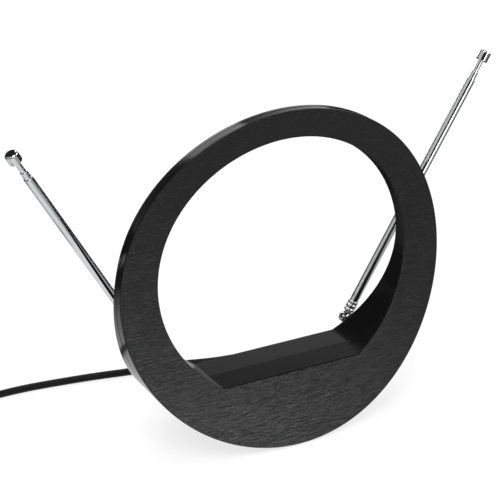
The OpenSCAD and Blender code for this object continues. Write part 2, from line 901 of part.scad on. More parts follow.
module strain_relief() {
    color(rubber) translate([exit_x, base_back, exit_z]) revolved_y() polygon([
        [cable_r + run_fit, -wall - boot_flange_t],
        [boot_r, -wall - boot_flange_t],
        [boot_r, -wall],
        [boot_neck_r, -wall],
        [boot_neck_r, 0],
        [boot_r, 0],
        [boot_r, boot_l / 5],
        [boot_tip_r, boot_l],
        [cable_r + run_fit, boot_l]
    ]);
}

// The lead's end inside the foot: jacket, insulation and core, up to the board
module cable_inner_end() {
    board_y = (board_back + (exit_z - ring_z) * sin(lean)) / cos(lean);
    color(satin_black) translate([exit_x, 0, exit_z]) {
        bar_y(cable_r, cable_inner_start, boot_end);
        bar_y(insulation_r, cable_inner_start - strip_l, cable_inner_start);
        bar_y(core_r, board_y + side_gap, cable_inner_start - strip_l);
    }
}

module cable_lead() {
    color(satin_black) tube(lead_route, cable_r, cable_sides);
}

module cable_coil() {
    color(satin_black) tube(coil_route, cable_r, coil_sides);
}

module cable_tail() {
    color(satin_black) tube(tail_route, cable_r, cable_sides);
}

// A flat strap round all the turns, at the front of the coil
module cable_tie() {
    inner_edge = coil_radius((coil_turns + climb_turns) / 2) - cable_r - face_gap;
    outer_edge = coil_radius(1 / 2) + cable_r + face_gap;
    strap_h = coil_pitch + cable_d + 2 * face_gap;
    color(satin_black) translate([coil_centre[0], coil_centre[1], coil_z - cable_r - face_gap])
        rotate([90, 0, -90]) linear_extrude(tie_w, center = true) difference() {
            translate([inner_edge - tie_t, -tie_t])
                square([outer_edge - inner_edge + 2 * tie_t, strap_h + 2 * tie_t]);
            translate([inner_edge, 0]) square([outer_edge - inner_edge, strap_h]);
        }
}

module plug_grip() {
    color(satin_black) translate([tail_x, plug_y, grip_r]) rotate([0, 0, 180]) revolved_y() polygon([
        [0, 0],
        [cable_r + grip_edge, 0],
        [grip_r, grip_taper],
        [grip_r, grip_l - grip_edge],
        [grip_r - grip_edge, grip_l],
        [0, grip_l]
    ]);
}

module plug_collar() {
    color(chrome) translate([tail_x, plug_y - grip_l, grip_r]) rotate([0, 0, 180]) difference() {
        bar_y(collar_r, 0, plug_collar_l);
        bar_y(collar_r - plug_wall, -through, plug_collar_l + through);
    }
}

module plug_pin() {
    color(chrome) translate([tail_x, plug_y - grip_l, grip_r]) rotate([0, 0, 180]) revolved_y() polygon([
        [0, 0],
        [plug_pin_r, 0],
        [plug_pin_r, plug_collar_l - grip_edge],
        [plug_pin_r / 2, plug_collar_l],
        [0, plug_collar_l]
    ]);
}

front_shell();
rear_shell();
foot_pad();
ballast_plate();
case_screws();
loop_strip();
circuit_board();
board_screws();
balun_core();
balun_winding();
contact_tag(left);  // left_contact_tag
contact_tag(right);  // right_contact_tag
lead_wire(left);  // left_lead_wire
lead_wire(right);  // right_lead_wire
swivel_fork(left);  // left_swivel_fork
swivel_fork(right);  // right_swivel_fork
swivel_washer(left);  // left_swivel_washer
swivel_washer(right);  // right_swivel_washer
swivel_screw(left);  // left_swivel_screw
swivel_screw(right);  // right_swivel_screw
hinge_pin(left);  // left_hinge_pin
hinge_pin(right);  // right_hinge_pin
rod_ferrule(left);  // left_rod_ferrule
rod_ferrule(right);  // right_rod_ferrule
outer_tube(left);  // left_outer_tube
outer_tube(right);  // right_outer_tube
middle_tube(left);  // left_middle_tube
middle_tube(right);  // right_middle_tube
middle_sleeve(left);  // left_middle_sleeve
middle_sleeve(right);  // right_middle_sleeve
inner_rod(left);  // left_inner_rod
inner_rod(right);  // right_inner_rod
inner_sleeve(left);  // left_inner_sleeve
inner_sleeve(right);  // right_inner_sleeve
tip_cap(left);  // left_tip_cap
tip_cap(right);  // right_tip_cap
strain_relief();
cable_inner_end();
cable_lead();
cable_coil();
cable_tail();
cable_tie();
plug_grip();
plug_collar();
plug_pin();
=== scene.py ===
# %% [markdown]
# This lesson dresses an indoor ring antenna: a black ring on its own foot, two chrome telescopic rods
# behind it and a coaxial lead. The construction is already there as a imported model, and it is loaded
# as a fixed frame. Every mesh made below is in metres, in the frame's own coordinates, so that a new
# piece lies where the frame's piece lies and nothing has to be fitted by eye.

# %% The frame
import json
import math
import bmesh
import bpy
from mathutils import Matrix, Vector


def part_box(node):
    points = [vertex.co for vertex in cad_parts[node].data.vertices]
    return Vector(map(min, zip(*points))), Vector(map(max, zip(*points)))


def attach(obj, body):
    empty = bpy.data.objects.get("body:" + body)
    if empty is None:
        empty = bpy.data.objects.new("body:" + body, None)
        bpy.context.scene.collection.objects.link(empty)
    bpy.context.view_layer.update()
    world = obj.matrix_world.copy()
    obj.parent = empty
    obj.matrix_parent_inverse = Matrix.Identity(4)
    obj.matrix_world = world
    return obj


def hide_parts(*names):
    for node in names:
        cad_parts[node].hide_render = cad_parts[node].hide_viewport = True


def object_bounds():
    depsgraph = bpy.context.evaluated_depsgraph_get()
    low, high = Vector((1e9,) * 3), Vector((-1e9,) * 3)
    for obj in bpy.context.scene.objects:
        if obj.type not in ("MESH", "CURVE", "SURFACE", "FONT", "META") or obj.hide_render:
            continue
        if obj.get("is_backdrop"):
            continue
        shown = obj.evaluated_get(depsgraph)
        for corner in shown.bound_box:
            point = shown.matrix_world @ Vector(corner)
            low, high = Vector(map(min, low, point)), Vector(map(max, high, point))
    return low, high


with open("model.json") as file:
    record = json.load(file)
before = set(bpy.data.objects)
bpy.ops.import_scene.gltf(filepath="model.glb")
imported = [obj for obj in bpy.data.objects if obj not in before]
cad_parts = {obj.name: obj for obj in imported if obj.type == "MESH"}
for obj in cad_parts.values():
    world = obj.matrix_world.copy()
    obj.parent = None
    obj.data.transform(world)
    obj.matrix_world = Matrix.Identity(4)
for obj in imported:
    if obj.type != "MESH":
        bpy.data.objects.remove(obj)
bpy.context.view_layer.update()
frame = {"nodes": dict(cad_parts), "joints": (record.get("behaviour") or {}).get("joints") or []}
nodes = frame["nodes"]
joints = {joint["name"]: joint for joint in frame["joints"]}
sides = ("left", "right")
mm = 0.001

# %% [markdown]
# The camera comes first, because the route of the lead depends on what the picture shows. The photograph
# looks down at the ring from the left: the ring's face is seen as an ellipse, and the bar's top shows. A
# camera could be moved by hand until it looks right. Here its place and lens were fitted to points on the
# outlines of the ring, its hole and the bar's front edge, so that the drawing and the photograph lie on
# each other.

# %% Camera
camera_place = Vector((-0.4291, -0.8241, 0.6027))
camera_aim = Vector((-0.0368, -0.0253, 0.1466))
camera_lens_mm = 122.4
camera_sensor_mm = 36


def add_object(name, data):
    thing = bpy.data.objects.new(name, data)
    bpy.context.scene.collection.objects.link(thing)
    return thing


def point_at(thing, place, aim):
    """Stands a camera or a lamp at a place and turns it to its aim."""
    thing.location = place
    thing.rotation_euler = (Vector(aim) - Vector(place)).to_track_quat("-Z", "Y").to_euler()


camera_data = bpy.data.cameras.new("camera")
camera_data.sensor_width = camera_sensor_mm
camera_data.lens = camera_lens_mm
camera = add_object("camera", camera_data)
point_at(camera, camera_place, camera_aim)
bpy.context.scene.camera = camera
print("camera looks down by", round(90 - math.degrees(camera.rotation_euler.x), 1), "degrees")

# %% [markdown]
# Materials are node trees. Small helpers keep them readable: one starts a material with its shader, and
# the others add a node or a noise to it. Every pattern reads Object coordinates, because all the objects
# sit at the origin and the pattern then stays on the piece when it moves.

# %% Material helpers
def new_material(name, **sockets):
    material = bpy.data.materials.new(name)
    material.use_nodes = True
    shader = material.node_tree.nodes["Principled BSDF"]
    for socket, value in sockets.items():
        shader.inputs[socket.replace("_", " ")].default_value = value
    return material, material.node_tree, shader


def add_node(tree, kind, **settings):
    node = tree.nodes.new(kind)
    for name, value in settings.items():
        setattr(node, name, value)
    return node


def object_coordinates(tree):
    return add_node(tree, "ShaderNodeTexCoord").outputs["Object"]


def add_noise(tree, vector, per_metre, detail=3, roughness=0.5):
    noise = add_node(tree, "ShaderNodeTexNoise")
    noise.inputs["Scale"].default_value = per_metre
    noise.inputs["Detail"].default_value = detail
    noise.inputs["Roughness"].default_value = roughness
    tree.links.new(vector, noise.inputs["Vector"])
    return noise.outputs["Fac"]


# %% [markdown]
# A noise is a number between 0 and 1 at every place. It becomes a finish when it is spread over two
# colours or over a range of roughness, or when a bump takes it as a height. Most of a noise lies between
# 0.3 and 0.7, so that is the stretch that gets spread.

# %% Colour, roughness and bump
noise_low = 0.3
noise_high = 0.7


def ramp_between(tree, factor, low, high, start=noise_low, end=noise_high, kind="LINEAR"):
    ramp = add_node(tree, "ShaderNodeMapRange", interpolation_type=kind)
    ramp.inputs["From Min"].default_value = start
    ramp.inputs["From Max"].default_value = end
    ramp.inputs["To Min"].default_value = low
    ramp.inputs["To Max"].default_value = high
    tree.links.new(factor, ramp.inputs["Value"])
    return ramp.outputs["Result"]


def set_roughness(tree, shader, factor, low, high):
    tree.links.new(ramp_between(tree, factor, low, high), shader.inputs["Roughness"])


def set_colour(tree, shader, factor, low, high):
    ramp = add_node(tree, "ShaderNodeValToRGB")
    ends = zip(ramp.color_ramp.elements, (noise_low, noise_high), (low, high))
    for element, position, colour in ends:
        element.position = position
        element.color = (*colour, 1)
    tree.links.new(factor, ramp.inputs["Fac"])
    tree.links.new(ramp.outputs["Color"], shader.inputs["Base Color"])


def add_bump(tree, shader, height, strength, depth):
    bump = add_node(tree, "ShaderNodeBump")
    bump.inputs["Strength"].default_value = strength
    bump.inputs["Distance"].default_value = depth
    tree.links.new(height, bump.inputs["Height"])
    tree.links.new(bump.outputs["Normal"], shader.inputs["Normal"])


# %% [markdown]
# The ring's face has a brushed look moulded into black plastic: fine hairlines, each about a centimetre
# long, which waver a little like wood grain. A picture of such lines could be laid on the face, but it
# would blur close up. A noise that is drawn out along X and squeezed along Z gives the lines at any
# distance, and a slow noise that shifts its heights makes them waver. The lines are a relief, so they
# drive a bump first of all: they show where the face mirrors the edge between light and dark. They drive
# the roughness and a little of the colour too, so that a raised line is smoother and paler than a groove.

# %% Hairline plastic of the face
hairs_per_metre = (75, 75, 1650)
hair_depth = 0.2 * mm
wavers_per_metre = 45
waver_height = 2.5 * mm


def hairline_plastic():
    material, tree, shader = new_material("hairline_plastic", Specular_IOR_Level=0.5)
    level = object_coordinates(tree)
    shift = add_node(tree, "ShaderNodeVectorMath", operation="SCALE")
    shift.inputs[0].default_value = (0, 0, waver_height)
    tree.links.new(add_noise(tree, level, wavers_per_metre, detail=1), shift.inputs["Scale"])
    wavering = add_node(tree, "ShaderNodeVectorMath", operation="ADD")
    tree.links.new(level, wavering.inputs[0])
    tree.links.new(shift.outputs[0], wavering.inputs[1])
    drawn_out = add_node(tree, "ShaderNodeMapping")
    drawn_out.inputs["Scale"].default_value = hairs_per_metre
    tree.links.new(wavering.outputs[0], drawn_out.inputs["Vector"])
    hairs = add_noise(tree, drawn_out.outputs[0], 1, roughness=0.6)
    set_colour(tree, shader, hairs, (0.0012, 0.0012, 0.0013), (0.004, 0.004, 0.0043))
    set_roughness(tree, shader, hairs, low=0.34, high=0.1)
    add_bump(tree, shader, hairs, strength=1, depth=hair_depth)
    return material


HAIRLINE = hairline_plastic()
print("hairlines are", round(1000 / hairs_per_metre[0], 1), "mm long")

# %% [markdown]
# The walls of the ring, the bar and the back are plain gloss mouldings. One even gloss would look like
# glass, because the polish of a moulding is never perfect. So a slow noise makes the gloss uneven, and a
# finer one gives the faint ripple of moulded plastic.

# %% Gloss plastic of the walls and the back
def gloss_plastic():
    material, tree, shader = new_material("gloss_plastic", Specular_IOR_Level=0.13)
    slow = add_noise(tree, object_coordinates(tree), 22)
    ripple = add_noise(tree, object_coordinates(tree), 1400, detail=2)
    set_roughness(tree, shader, slow, low=0.10, high=0.16)
    set_colour(tree, shader, slow, (0.0035, 0.0035, 0.0038), (0.005, 0.005, 0.0055))
    add_bump(tree, shader, ripple, strength=0.08, depth=0.02 * mm)
    return material


GLOSS = gloss_plastic()

# %% [markdown]
# The rods are brass tubes with a polished chrome plating. Chrome has no colour of its own: what shows
# is the studio, so the finish is a full metal with a low roughness. Handling leaves a haze, and a noise
# makes the polish a little duller in patches. The other metals differ only in colour and in polish, so
# one function makes them all.

# %% Metals
def metal(name, low, high, smooth, dull, patches_per_metre=260):
    material, tree, shader = new_material(name, Metallic=1.0)
    haze = add_noise(tree, object_coordinates(tree), patches_per_metre, detail=4)
    set_colour(tree, shader, haze, low, high)
    set_roughness(tree, shader, haze, smooth, dull)
    add_bump(tree, shader, haze, strength=0.03, depth=0.02 * mm)
    return material


CHROME = metal("chrome_plate", (0.76, 0.77, 0.78), (0.84, 0.85, 0.86), 0.05, 0.1)
STEEL = metal("zinc_steel", (0.45, 0.46, 0.47), (0.58, 0.59, 0.60), 0.28, 0.42, 900)
BRONZE = metal("spring_bronze", (0.55, 0.32, 0.17), (0.68, 0.42, 0.24), 0.25, 0.4, 700)
TINPLATE = metal("tinned_strip", (0.55, 0.54, 0.52), (0.68, 0.67, 0.64), 0.3, 0.45, 500)
COPPER = metal("bare_copper", (0.60, 0.30, 0.18), (0.72, 0.42, 0.27), 0.25, 0.38, 900)

# %% [markdown]
# The soft pieces are black too, but none of them shines like the ring: the lead's jacket is satin, the
# foot pad and the boot are dull rubber, and the tie is a woven strap. All of these, and the board and the
# wires inside, have a fine grain that is both a colour and a relief, so they share one function too.

# %% Rubbers, jacket and inner materials
def grey(level):
    return (level, level, level)


def dull_stuff(name, low, high, smooth, dull, grains_per_metre, grain_depth, shine=0.4):
    material, tree, shader = new_material(name, Specular_IOR_Level=shine)
    slow = add_noise(tree, object_coordinates(tree), 60)
    grain = add_noise(tree, object_coordinates(tree), grains_per_metre, roughness=0.6)
    set_colour(tree, shader, grain, low, high)
    set_roughness(tree, shader, slow, smooth, dull)
    add_bump(tree, shader, grain, strength=0.25, depth=grain_depth)
    return material


JACKET = dull_stuff("cable_jacket", grey(0.003), grey(0.006), 0.36, 0.48, 1500, 0.04 * mm, shine=0.16)
RUBBER = dull_stuff("dull_rubber", grey(0.011), grey(0.02), 0.6, 0.75, 1200, 0.08 * mm)
GRIP = dull_stuff("plug_grip", grey(0.010), grey(0.017), 0.45, 0.6, 1600, 0.05 * mm)
STRAP = dull_stuff("strap_weave", grey(0.008), grey(0.022), 0.7, 0.85, 2600, 0.12 * mm)
BOARD = dull_stuff("board_lacquer", (0.02, 0.10, 0.045), (0.03, 0.14, 0.06), 0.3, 0.45, 300, 0.02 * mm)
FERRITE = dull_stuff("ferrite", (0.03, 0.03, 0.032), (0.05, 0.05, 0.053), 0.5, 0.65, 900, 0.05 * mm)
RED_WIRE = dull_stuff("wire_jacket", (0.20, 0.02, 0.015), (0.28, 0.03, 0.02), 0.35, 0.5, 800, 0.02 * mm)
print("materials:", len(bpy.data.materials))

# %% [markdown]
# The lead is a coaxial cable, 5 mm thick. It leaves the foot through its boot, sinks to the table in a
# bend and runs off to the left, out of the picture. The length that the picture doesn't show is put
# away in a tied coil beside the antenna. A curve suits a cable better than a mesh: the route stays a list
# of points, and its round bevel draws the jacket along them. The points repeat the frame's own route, and
# the coil is a formula: it spirals in on the table, climbs one layer, and spirals out again.

# %% Route of the lead
cable_r = 2.5 * mm
coil_middle = Vector((-222, 67.5)) * mm
coil_r = 38.5 * mm
coil_turns = 6.25
coil_pitch = 5.6 * mm
coil_z = 3.4 * mm
climb_turns = 0.5
steps_per_turn = 36

lead_points = [
    (16, 60, 10), (16, 64, 10), (15.5, 68.5, 9.6), (13.4, 73, 8.6), (9.6, 77.2, 7.2), (4.5, 81, 5.6),
    (-1.8, 84.2, 4.2), (-9.5, 87.2, 3.2), (-18, 90.2, 2.7), (-28, 93.2, 2.6), (-42, 96.4, 2.6),
    (-56, 98.8, 2.6), (-70, 101.2, 2.6), (-84, 104, 2.6), (-98, 106.4, 2.6), (-112, 108.4, 2.6),
    (-126, 110.2, 2.6), (-140, 111.4, 2.6), (-155, 111.6, 2.6), (-170, 110.6, 2.6), (-185, 108.8, 2.8),
    (-200, 107, 3.2), (-212, 106, 3.4),
]
tail_points = [(-260.5, 57.5, 9), (-260.5, 48, 8), (-260.5, 38, 6.6), (-260.5, 28, 6), (-260.5, 18, 6)]
boot_end = Vector(lead_points[0]) * mm
grip_end = Vector(tail_points[-1]) * mm


def ease(share):
    return (1 - math.cos(math.pi * min(max(share, 0), 1))) / 2


def coil_point(turn):
    radius = coil_r - coil_pitch * min(turn, coil_turns - turn)
    angle = math.tau * (turn + 0.25)
    height = coil_z + coil_pitch * ease((turn - coil_turns / 2) / climb_turns + 0.5)
    return (coil_middle.x + radius * math.cos(angle), coil_middle.y + radius * math.sin(angle), height)


coil_points = [coil_point(step / steps_per_turn) for step in range(int(coil_turns * steps_per_turn) + 1)]
route = [Vector(p) * mm for p in lead_points] + [Vector(p) for p in coil_points]
route += [Vector(p) * mm for p in tail_points]
lead_length = sum((b - a).length for a, b in zip(route, route[1:]))
print("lead:", len(route), "points,", round(lead_length, 3), "m")

# %% [markdown]
# The route becomes a curve with automatic handles, which pass smoothly through every point.

# %% Lead
lead_curve = bpy.data.curves.new("coaxial_lead", "CURVE")
lead_curve.dimensions = "3D"
lead_curve.bevel_depth = cable_r
lead_curve.bevel_resolution = 5
lead_curve.resolution_u = 4
lead_curve.use_fill_caps = True
spline = lead_curve.splines.new("BEZIER")
spline.bezier_points.add(len(route) - 1)
for point, place in zip(spline.bezier_points, route):
    point.co = place
    point.handle_left_type = "AUTO"
    point.handle_right_type = "AUTO"
lead_curve.materials.append(JACKET)
coaxial_lead = add_object("coaxial_lead", lead_curve)
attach(coaxial_lead, "base")
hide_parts("cable_lead", "cable_coil", "cable_tail")
print("coaxial lead is", round(2 * cable_r / mm, 1), "mm thick")

# %% [markdown]
# Operators give back lists of mixed geometry, so two helpers pick out the vertices or the edges. No edge
# of a real moulding or turned part is perfectly sharp, so two more find the sharp edges of a mesh and
# round them off with a bevel.

# %% Edges
def verts_of(geometry):
    return [item for item in geometry if isinstance(item, bmesh.types.BMVert)]


def edges_of(geometry):
    return [item for item in geometry if isinstance(item, bmesh.types.BMEdge)]


def sharp_edges(mesh_data, angle):
    return [
        edge for edge in mesh_data.edges
        if edge.is_manifold and edge.calc_face_angle() > math.radians(angle)
    ]


def round_off(mesh_data, edges, width, segments=2):
    bmesh.ops.bevel(
        mesh_data, geom=edges, offset=width, offset_type="OFFSET", segments=segments, profile=0.5,
        affect="EDGES", material=-1, clamp_overlap=True
    )


# %% Finishing a piece
crisp_angle = 31


def mark_crisp(mesh_data):
    for edge in mesh_data.edges:
        edge.smooth = True
    for edge in sharp_edges(mesh_data, crisp_angle):
        edge.smooth = False


def shade_smooth(piece):
    for polygon in piece.data.polygons:
        polygon.use_smooth = True
    normals = piece.modifiers.new("weighted_normals", "WEIGHTED_NORMAL")
    normals.keep_sharp = True


def finish_piece(name, mesh_data, materials, body, replaced):
    mesh = bpy.data.meshes.new(name)
    mark_crisp(mesh_data)
    mesh_data.to_mesh(mesh)
    mesh_data.free()
    for material in materials:
        mesh.materials.append(material)
    piece = add_object(name, mesh)
    shade_smooth(piece)
    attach(piece, body)
    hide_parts(*replaced)
    print(name, "has", len(mesh.polygons), "faces")
    return piece


# %% [markdown]
# The ring is the part that the eye goes to first, so both shells are drawn afresh, with rounded edges.
# The work is done in the ring's own frame: X across, Z up in the ring's plane, Y along its axis to the
# back. The face is hollow, as a piece of a large cylinder. Behind it lie the seam and the back, which
# follow the same bow at the top and sweep backwards through the foot. All three are formulas of the
# height alone, so one band of faces can be laid on any of them.

# %% Surfaces of the ring
ring_r = 110 * mm
ring_t = 9.4 * mm
ring_z = 108.818 * mm
lean = math.radians(6)
hole_r = 85 * mm
hole_rise = 6.6 * mm
bar_z = -63.5 * mm
bow_r = 408 * mm
seam_depth = 5.5 * mm
seam_gap = 0.06 * mm
seam_sweep = 1000 * mm
flare_r = 200 * mm
flare_start = 26 * mm
shell_wall = 2 * mm
ring_place = Matrix.Translation((0, 0, ring_z)) @ Matrix.Rotation(-lean, 4, "X")
flare_angle = math.asin(flare_start / (bow_r + ring_t))


def surface_y(z, depth, sweep):
    if z > flare_start:
        return math.sqrt((bow_r + depth) ** 2 - z * z) - bow_r
    far = bow_r + depth + sweep
    rise = z - far * math.sin(flare_angle)
    return far * math.cos(flare_angle) - bow_r - math.sqrt(sweep * sweep - rise * rise)


def face_y(z):
    return math.sqrt(bow_r * bow_r - z * z) - bow_r


def seam_y(z):
    return surface_y(z, seam_depth, seam_sweep)


def behind_seam_y(z):
    return surface_y(z, seam_depth + seam_gap, seam_sweep - seam_gap)


def back_y(z):
    return surface_y(z, ring_t, flare_r)


print("the bar is", round((back_y(bar_z) - face_y(bar_z)) / mm, 1), "mm deep")

# %% [markdown]
# The hole is a circle whose lower part is cut off by the bar. The bar's top is not level: it rises by
# three degrees up to the seam and by one degree behind it. So a point on the bar's edge moves up a
# little as it moves back, and it moves outwards, because the round hole is wider higher up.

# %% Hole and bar
touching = 0.01 * mm
front_slope = math.tan(math.radians(3))
rear_slope = math.tan(math.radians(1))
bar_seam_y = seam_y(bar_z)
bar_seam_z = bar_z + (bar_seam_y - face_y(bar_z)) * front_slope


def bar_top(y):
    slope = front_slope if y < bar_seam_y else rear_slope
    return bar_seam_z + (y - bar_seam_y) * slope


def half_hole(z):
    return math.sqrt(hole_r ** 2 - (z - hole_rise) ** 2)


def on_outside(place):
    return math.hypot(place.x, place.z) > ring_r - mm


def on_bar(place):
    return not on_outside(place) and abs(place.z - bar_top(place.y)) < touching


def slide_to(verts, surface):
    """Moves points along the ring's axis to a surface. Those on the bar also follow its slope."""
    for vert in verts:
        if on_bar(vert.co):
            share = vert.co.x / half_hole(vert.co.z)
            for _ in range(4):
                vert.co.y = surface(vert.co.z)
                vert.co.z = bar_top(vert.co.y)
            vert.co.x = share * half_hole(vert.co.z)
        else:
            vert.co.y = surface(vert.co.z)


# %% [markdown]
# The band starts as the outline of the hole: a circle is cut at the bar, and a straight edge closes it.
# The outline is extruded, the new points are pushed out to the ring's rim, and the spokes between the two
# are divided. A grid that runs round the ring like this bends cleanly with the surfaces. The points of
# the round wall start above the highest point of the bar, so that none of them gets buried.

# %% Band between the outlines
hole_steps = 240
bar_cuts = 43
spoke_cuts = 13
bar_rise = 1.7 * mm


def hole_outline():
    band = bmesh.new()
    upright = Matrix.Translation((0, 0, hole_rise)) @ Matrix.Rotation(math.pi / 2, 4, "X")
    bmesh.ops.create_circle(band, segments=hole_steps, radius=hole_r, matrix=upright)
    bmesh.ops.bisect_plane(
        band, geom=band.verts[:] + band.edges[:], plane_co=(0, 0, bar_z + bar_rise), plane_no=(0, 0, -1),
        clear_outer=True
    )
    corners = []
    for end in [vert for vert in band.verts if len(vert.link_edges) == 1]:
        corners.append(band.verts.new((math.copysign(half_hole(bar_z), end.co.x), 0, bar_z)))
        band.edges.new((end, corners[-1]))
    bar_edge = band.edges.new(corners)
    bmesh.ops.subdivide_edges(band, edges=[bar_edge], cuts=bar_cuts)
    return band


def ring_band(surface):
    """The ring between its two outlines, laid on a surface."""
    band = hole_outline()
    for vert in band.verts:
        vert.co.y = face_y(vert.co.z)
    outer = set(verts_of(bmesh.ops.extrude_edge_only(band, edges=band.edges[:])["geom"]))
    for vert in outer:
        out = ring_r / math.hypot(vert.co.x, vert.co.z)
        vert.co.x *= out
        vert.co.z *= out
    spokes = [edge for edge in band.edges if (edge.verts[0] in outer) != (edge.verts[1] in outer)]
    bmesh.ops.subdivide_edges(band, edges=spokes, cuts=spoke_cuts, use_grid_fill=True)
    slide_to(band.verts, surface)
    return band


# %% [markdown]
# Each shell is that band with its two rims drawn out to the seam. The last bit of a rim turns inwards as
# a small lip: half a millimetre on the outer wall and a hair in the hole. Two such lips, almost touching,
# make the fine line that shows where the shells meet.

# %% Rims and seam
hole_lip = 0.06 * mm
outside_lip = 0.5 * mm


def way_into_wall(place):
    if on_outside(place):
        return Vector((-place.x, 0, -place.z)).normalized()
    if on_bar(place):
        return Vector((0, 0, -1))
    return Vector((place.x, 0, place.z - hole_rise)).normalized()


def draw_to_seam(shell, seam, towards):
    """Draws both rims of a band to the seam, and turns the last bit in as a small lip."""
    rims = [edge for edge in shell.edges if edge.is_boundary]
    for tucked in (False, True):
        grown = bmesh.ops.extrude_edge_only(shell, edges=rims)["geom"]
        rims = edges_of(grown)
        for vert in verts_of(grown):
            lip = outside_lip if on_outside(vert.co) else hole_lip
            if tucked:
                slide_to([vert], seam)
                vert.co += lip * way_into_wall(vert.co)
            else:
                slide_to([vert], lambda z: seam(z) - towards * lip)


# %% [markdown]
# The foot is cut flat twice: below, where the pad goes, and behind, at the rear wall. A cut is closed with
# a face. The sharp edges of the outer skin are rounded, each set with a radius of its own, and the
# Solidify modifier gives the wall its thickness inwards.

# %% Cutting, rounding and thickening a shell
pad_t = 1 * mm
rear_wall_y = 42 * mm
to_ring = ring_place.inverted()
under_place = to_ring @ Vector((0, 0, pad_t))
under_out = to_ring.to_3x3() @ Vector((0, 0, -1))
rear_place = to_ring @ Vector((0, rear_wall_y, 0))
rear_out = to_ring.to_3x3() @ Vector((0, 1, 0))


def cut_flat(shell, place, out):
    cut = bmesh.ops.bisect_plane(
        shell, geom=shell.verts[:] + shell.edges[:] + shell.faces[:], dist=0.001 * mm,
        plane_co=place, plane_no=out, clear_outer=True
    )["geom_cut"]
    rim = [edge for edge in edges_of(cut) if edge.is_valid]
    ends = [vert for vert in {v for edge in rim for v in edge.verts}
            if sum(edge in rim for edge in vert.link_edges) == 1]
    if len(ends) == 2:
        rim.append(shell.edges.get(ends) or shell.edges.new(ends))
    if rim:
        bmesh.ops.contextual_create(shell, geom=rim)


def on_surface(surface, slack=0.03 * mm):
    return lambda place: abs(place.y - surface(place.z)) < slack


def on_rear_wall(place):
    return abs((place - rear_place).dot(rear_out)) < touching


def round_edges(shell, lies_there, width):
    """Rounds the sharp edges of the outer skin whose ends lie where the test says."""
    bmesh.ops.remove_doubles(shell, verts=shell.verts[:], dist=0.002 * mm)
    bmesh.ops.recalc_face_normals(shell, faces=shell.faces[:])
    sharp = sharp_edges(shell, angle=25)
    edges = [edge for edge in sharp if all(lies_there(vert.co) for vert in edge.verts)]
    round_off(shell, edges, width, segments=3)
    print("rounded", len(edges), "edges")


def give_wall(piece, wall):
    thickness = piece.modifiers.new("wall", "SOLIDIFY")
    thickness.thickness = wall
    thickness.offset = -1


# %% [markdown]
# The front shell carries two finishes: hairlines on the face, and gloss on the walls. They could be two
# pieces, but the real shell is one moulding. So it stays one mesh with two materials, and a face of the
# mesh belongs to the hairlines where it lies on the ring's face and looks to the front.

# %% Front shell
face_rounding = 0.55 * mm
front = ring_band(face_y)
draw_to_seam(front, seam_y, 1)
round_edges(front, on_surface(face_y), face_rounding)
cut_flat(front, under_place, under_out)
bmesh.ops.recalc_face_normals(front, faces=front.faces[:])
lies_on_face = on_surface(face_y, 0.05 * mm)
for polygon in front.faces:
    looks_forward = polygon.normal.y < -0.9
    brushed = looks_forward and lies_on_face(polygon.calc_center_median())
    polygon.material_index = 0 if brushed else 1
bmesh.ops.transform(front, matrix=ring_place, verts=front.verts[:])
front_piece = finish_piece(
    "front_shell_moulding", front, [HAIRLINE, GLOSS], "base", ["front_shell"]
)
give_wall(front_piece, shell_wall)

# %% [markdown]
# The rear shell is made the same way, from the back's surface forwards to the seam. It has more in it:
# recesses for the six case screws and the hole for the lead. These are carved out with a Boolean
# modifier, which needs closed bodies, so the open side at the seam is closed with a lid for a while.

# %% Tools for carving
along_y = Matrix.Rotation(-math.pi / 2, 4, "X")


def close_at_seam(shell):
    """Closes the open side with a lid between the two rims, matched by their angle round the ring."""
    just_before_top = 0.005
    rims = {vert for edge in shell.edges if edge.is_boundary for vert in edge.verts}
    in_turn = sorted(
        rims, key=lambda vert: (math.atan2(vert.co.x, vert.co.z) + just_before_top) % math.tau
    )
    outer = [vert for vert in in_turn if on_outside(vert.co)]
    inner = [vert for vert in in_turn if not on_outside(vert.co)]
    for k in range(len(outer)):
        shell.faces.new((outer[k - 1], outer[k], inner[k], inner[k - 1]))


def bake(piece):
    """Keeps what the modifiers make of a piece as its mesh."""
    baked = bpy.data.meshes.new_from_object(piece.evaluated_get(bpy.context.evaluated_depsgraph_get()))
    piece.modifiers.clear()
    piece.data = baked


def carve(piece, cutter_data):
    """Cuts a set of closed solids out of a closed piece."""
    cutter_mesh = bpy.data.meshes.new("cutter")
    cutter_data.to_mesh(cutter_mesh)
    cutter_data.free()
    cutter = add_object("cutter", cutter_mesh)
    cut = piece.modifiers.new("cut", "BOOLEAN")
    cut.operation = "DIFFERENCE"
    cut.solver = "EXACT"
    cut.object = cutter
    bake(piece)
    bpy.data.objects.remove(cutter)


def add_round_bar(mesh_data, place, radius, start, end):
    """A closed round bar along Y of its place."""
    middle = Matrix.Translation((0, (start + end) / 2, 0))
    bmesh.ops.create_cone(
        mesh_data, cap_ends=True, segments=48, radius1=radius, radius2=radius, depth=end - start,
        matrix=place @ middle @ along_y
    )


# %% [markdown]
# The band is laid on the back, its rims are drawn forwards to the seam, and the lid closes it. The edges
# of the back are rounded before the rear wall is cut, and those of the rear wall before the underside is
# cut, because the underside stays sharp: it lies on the pad.

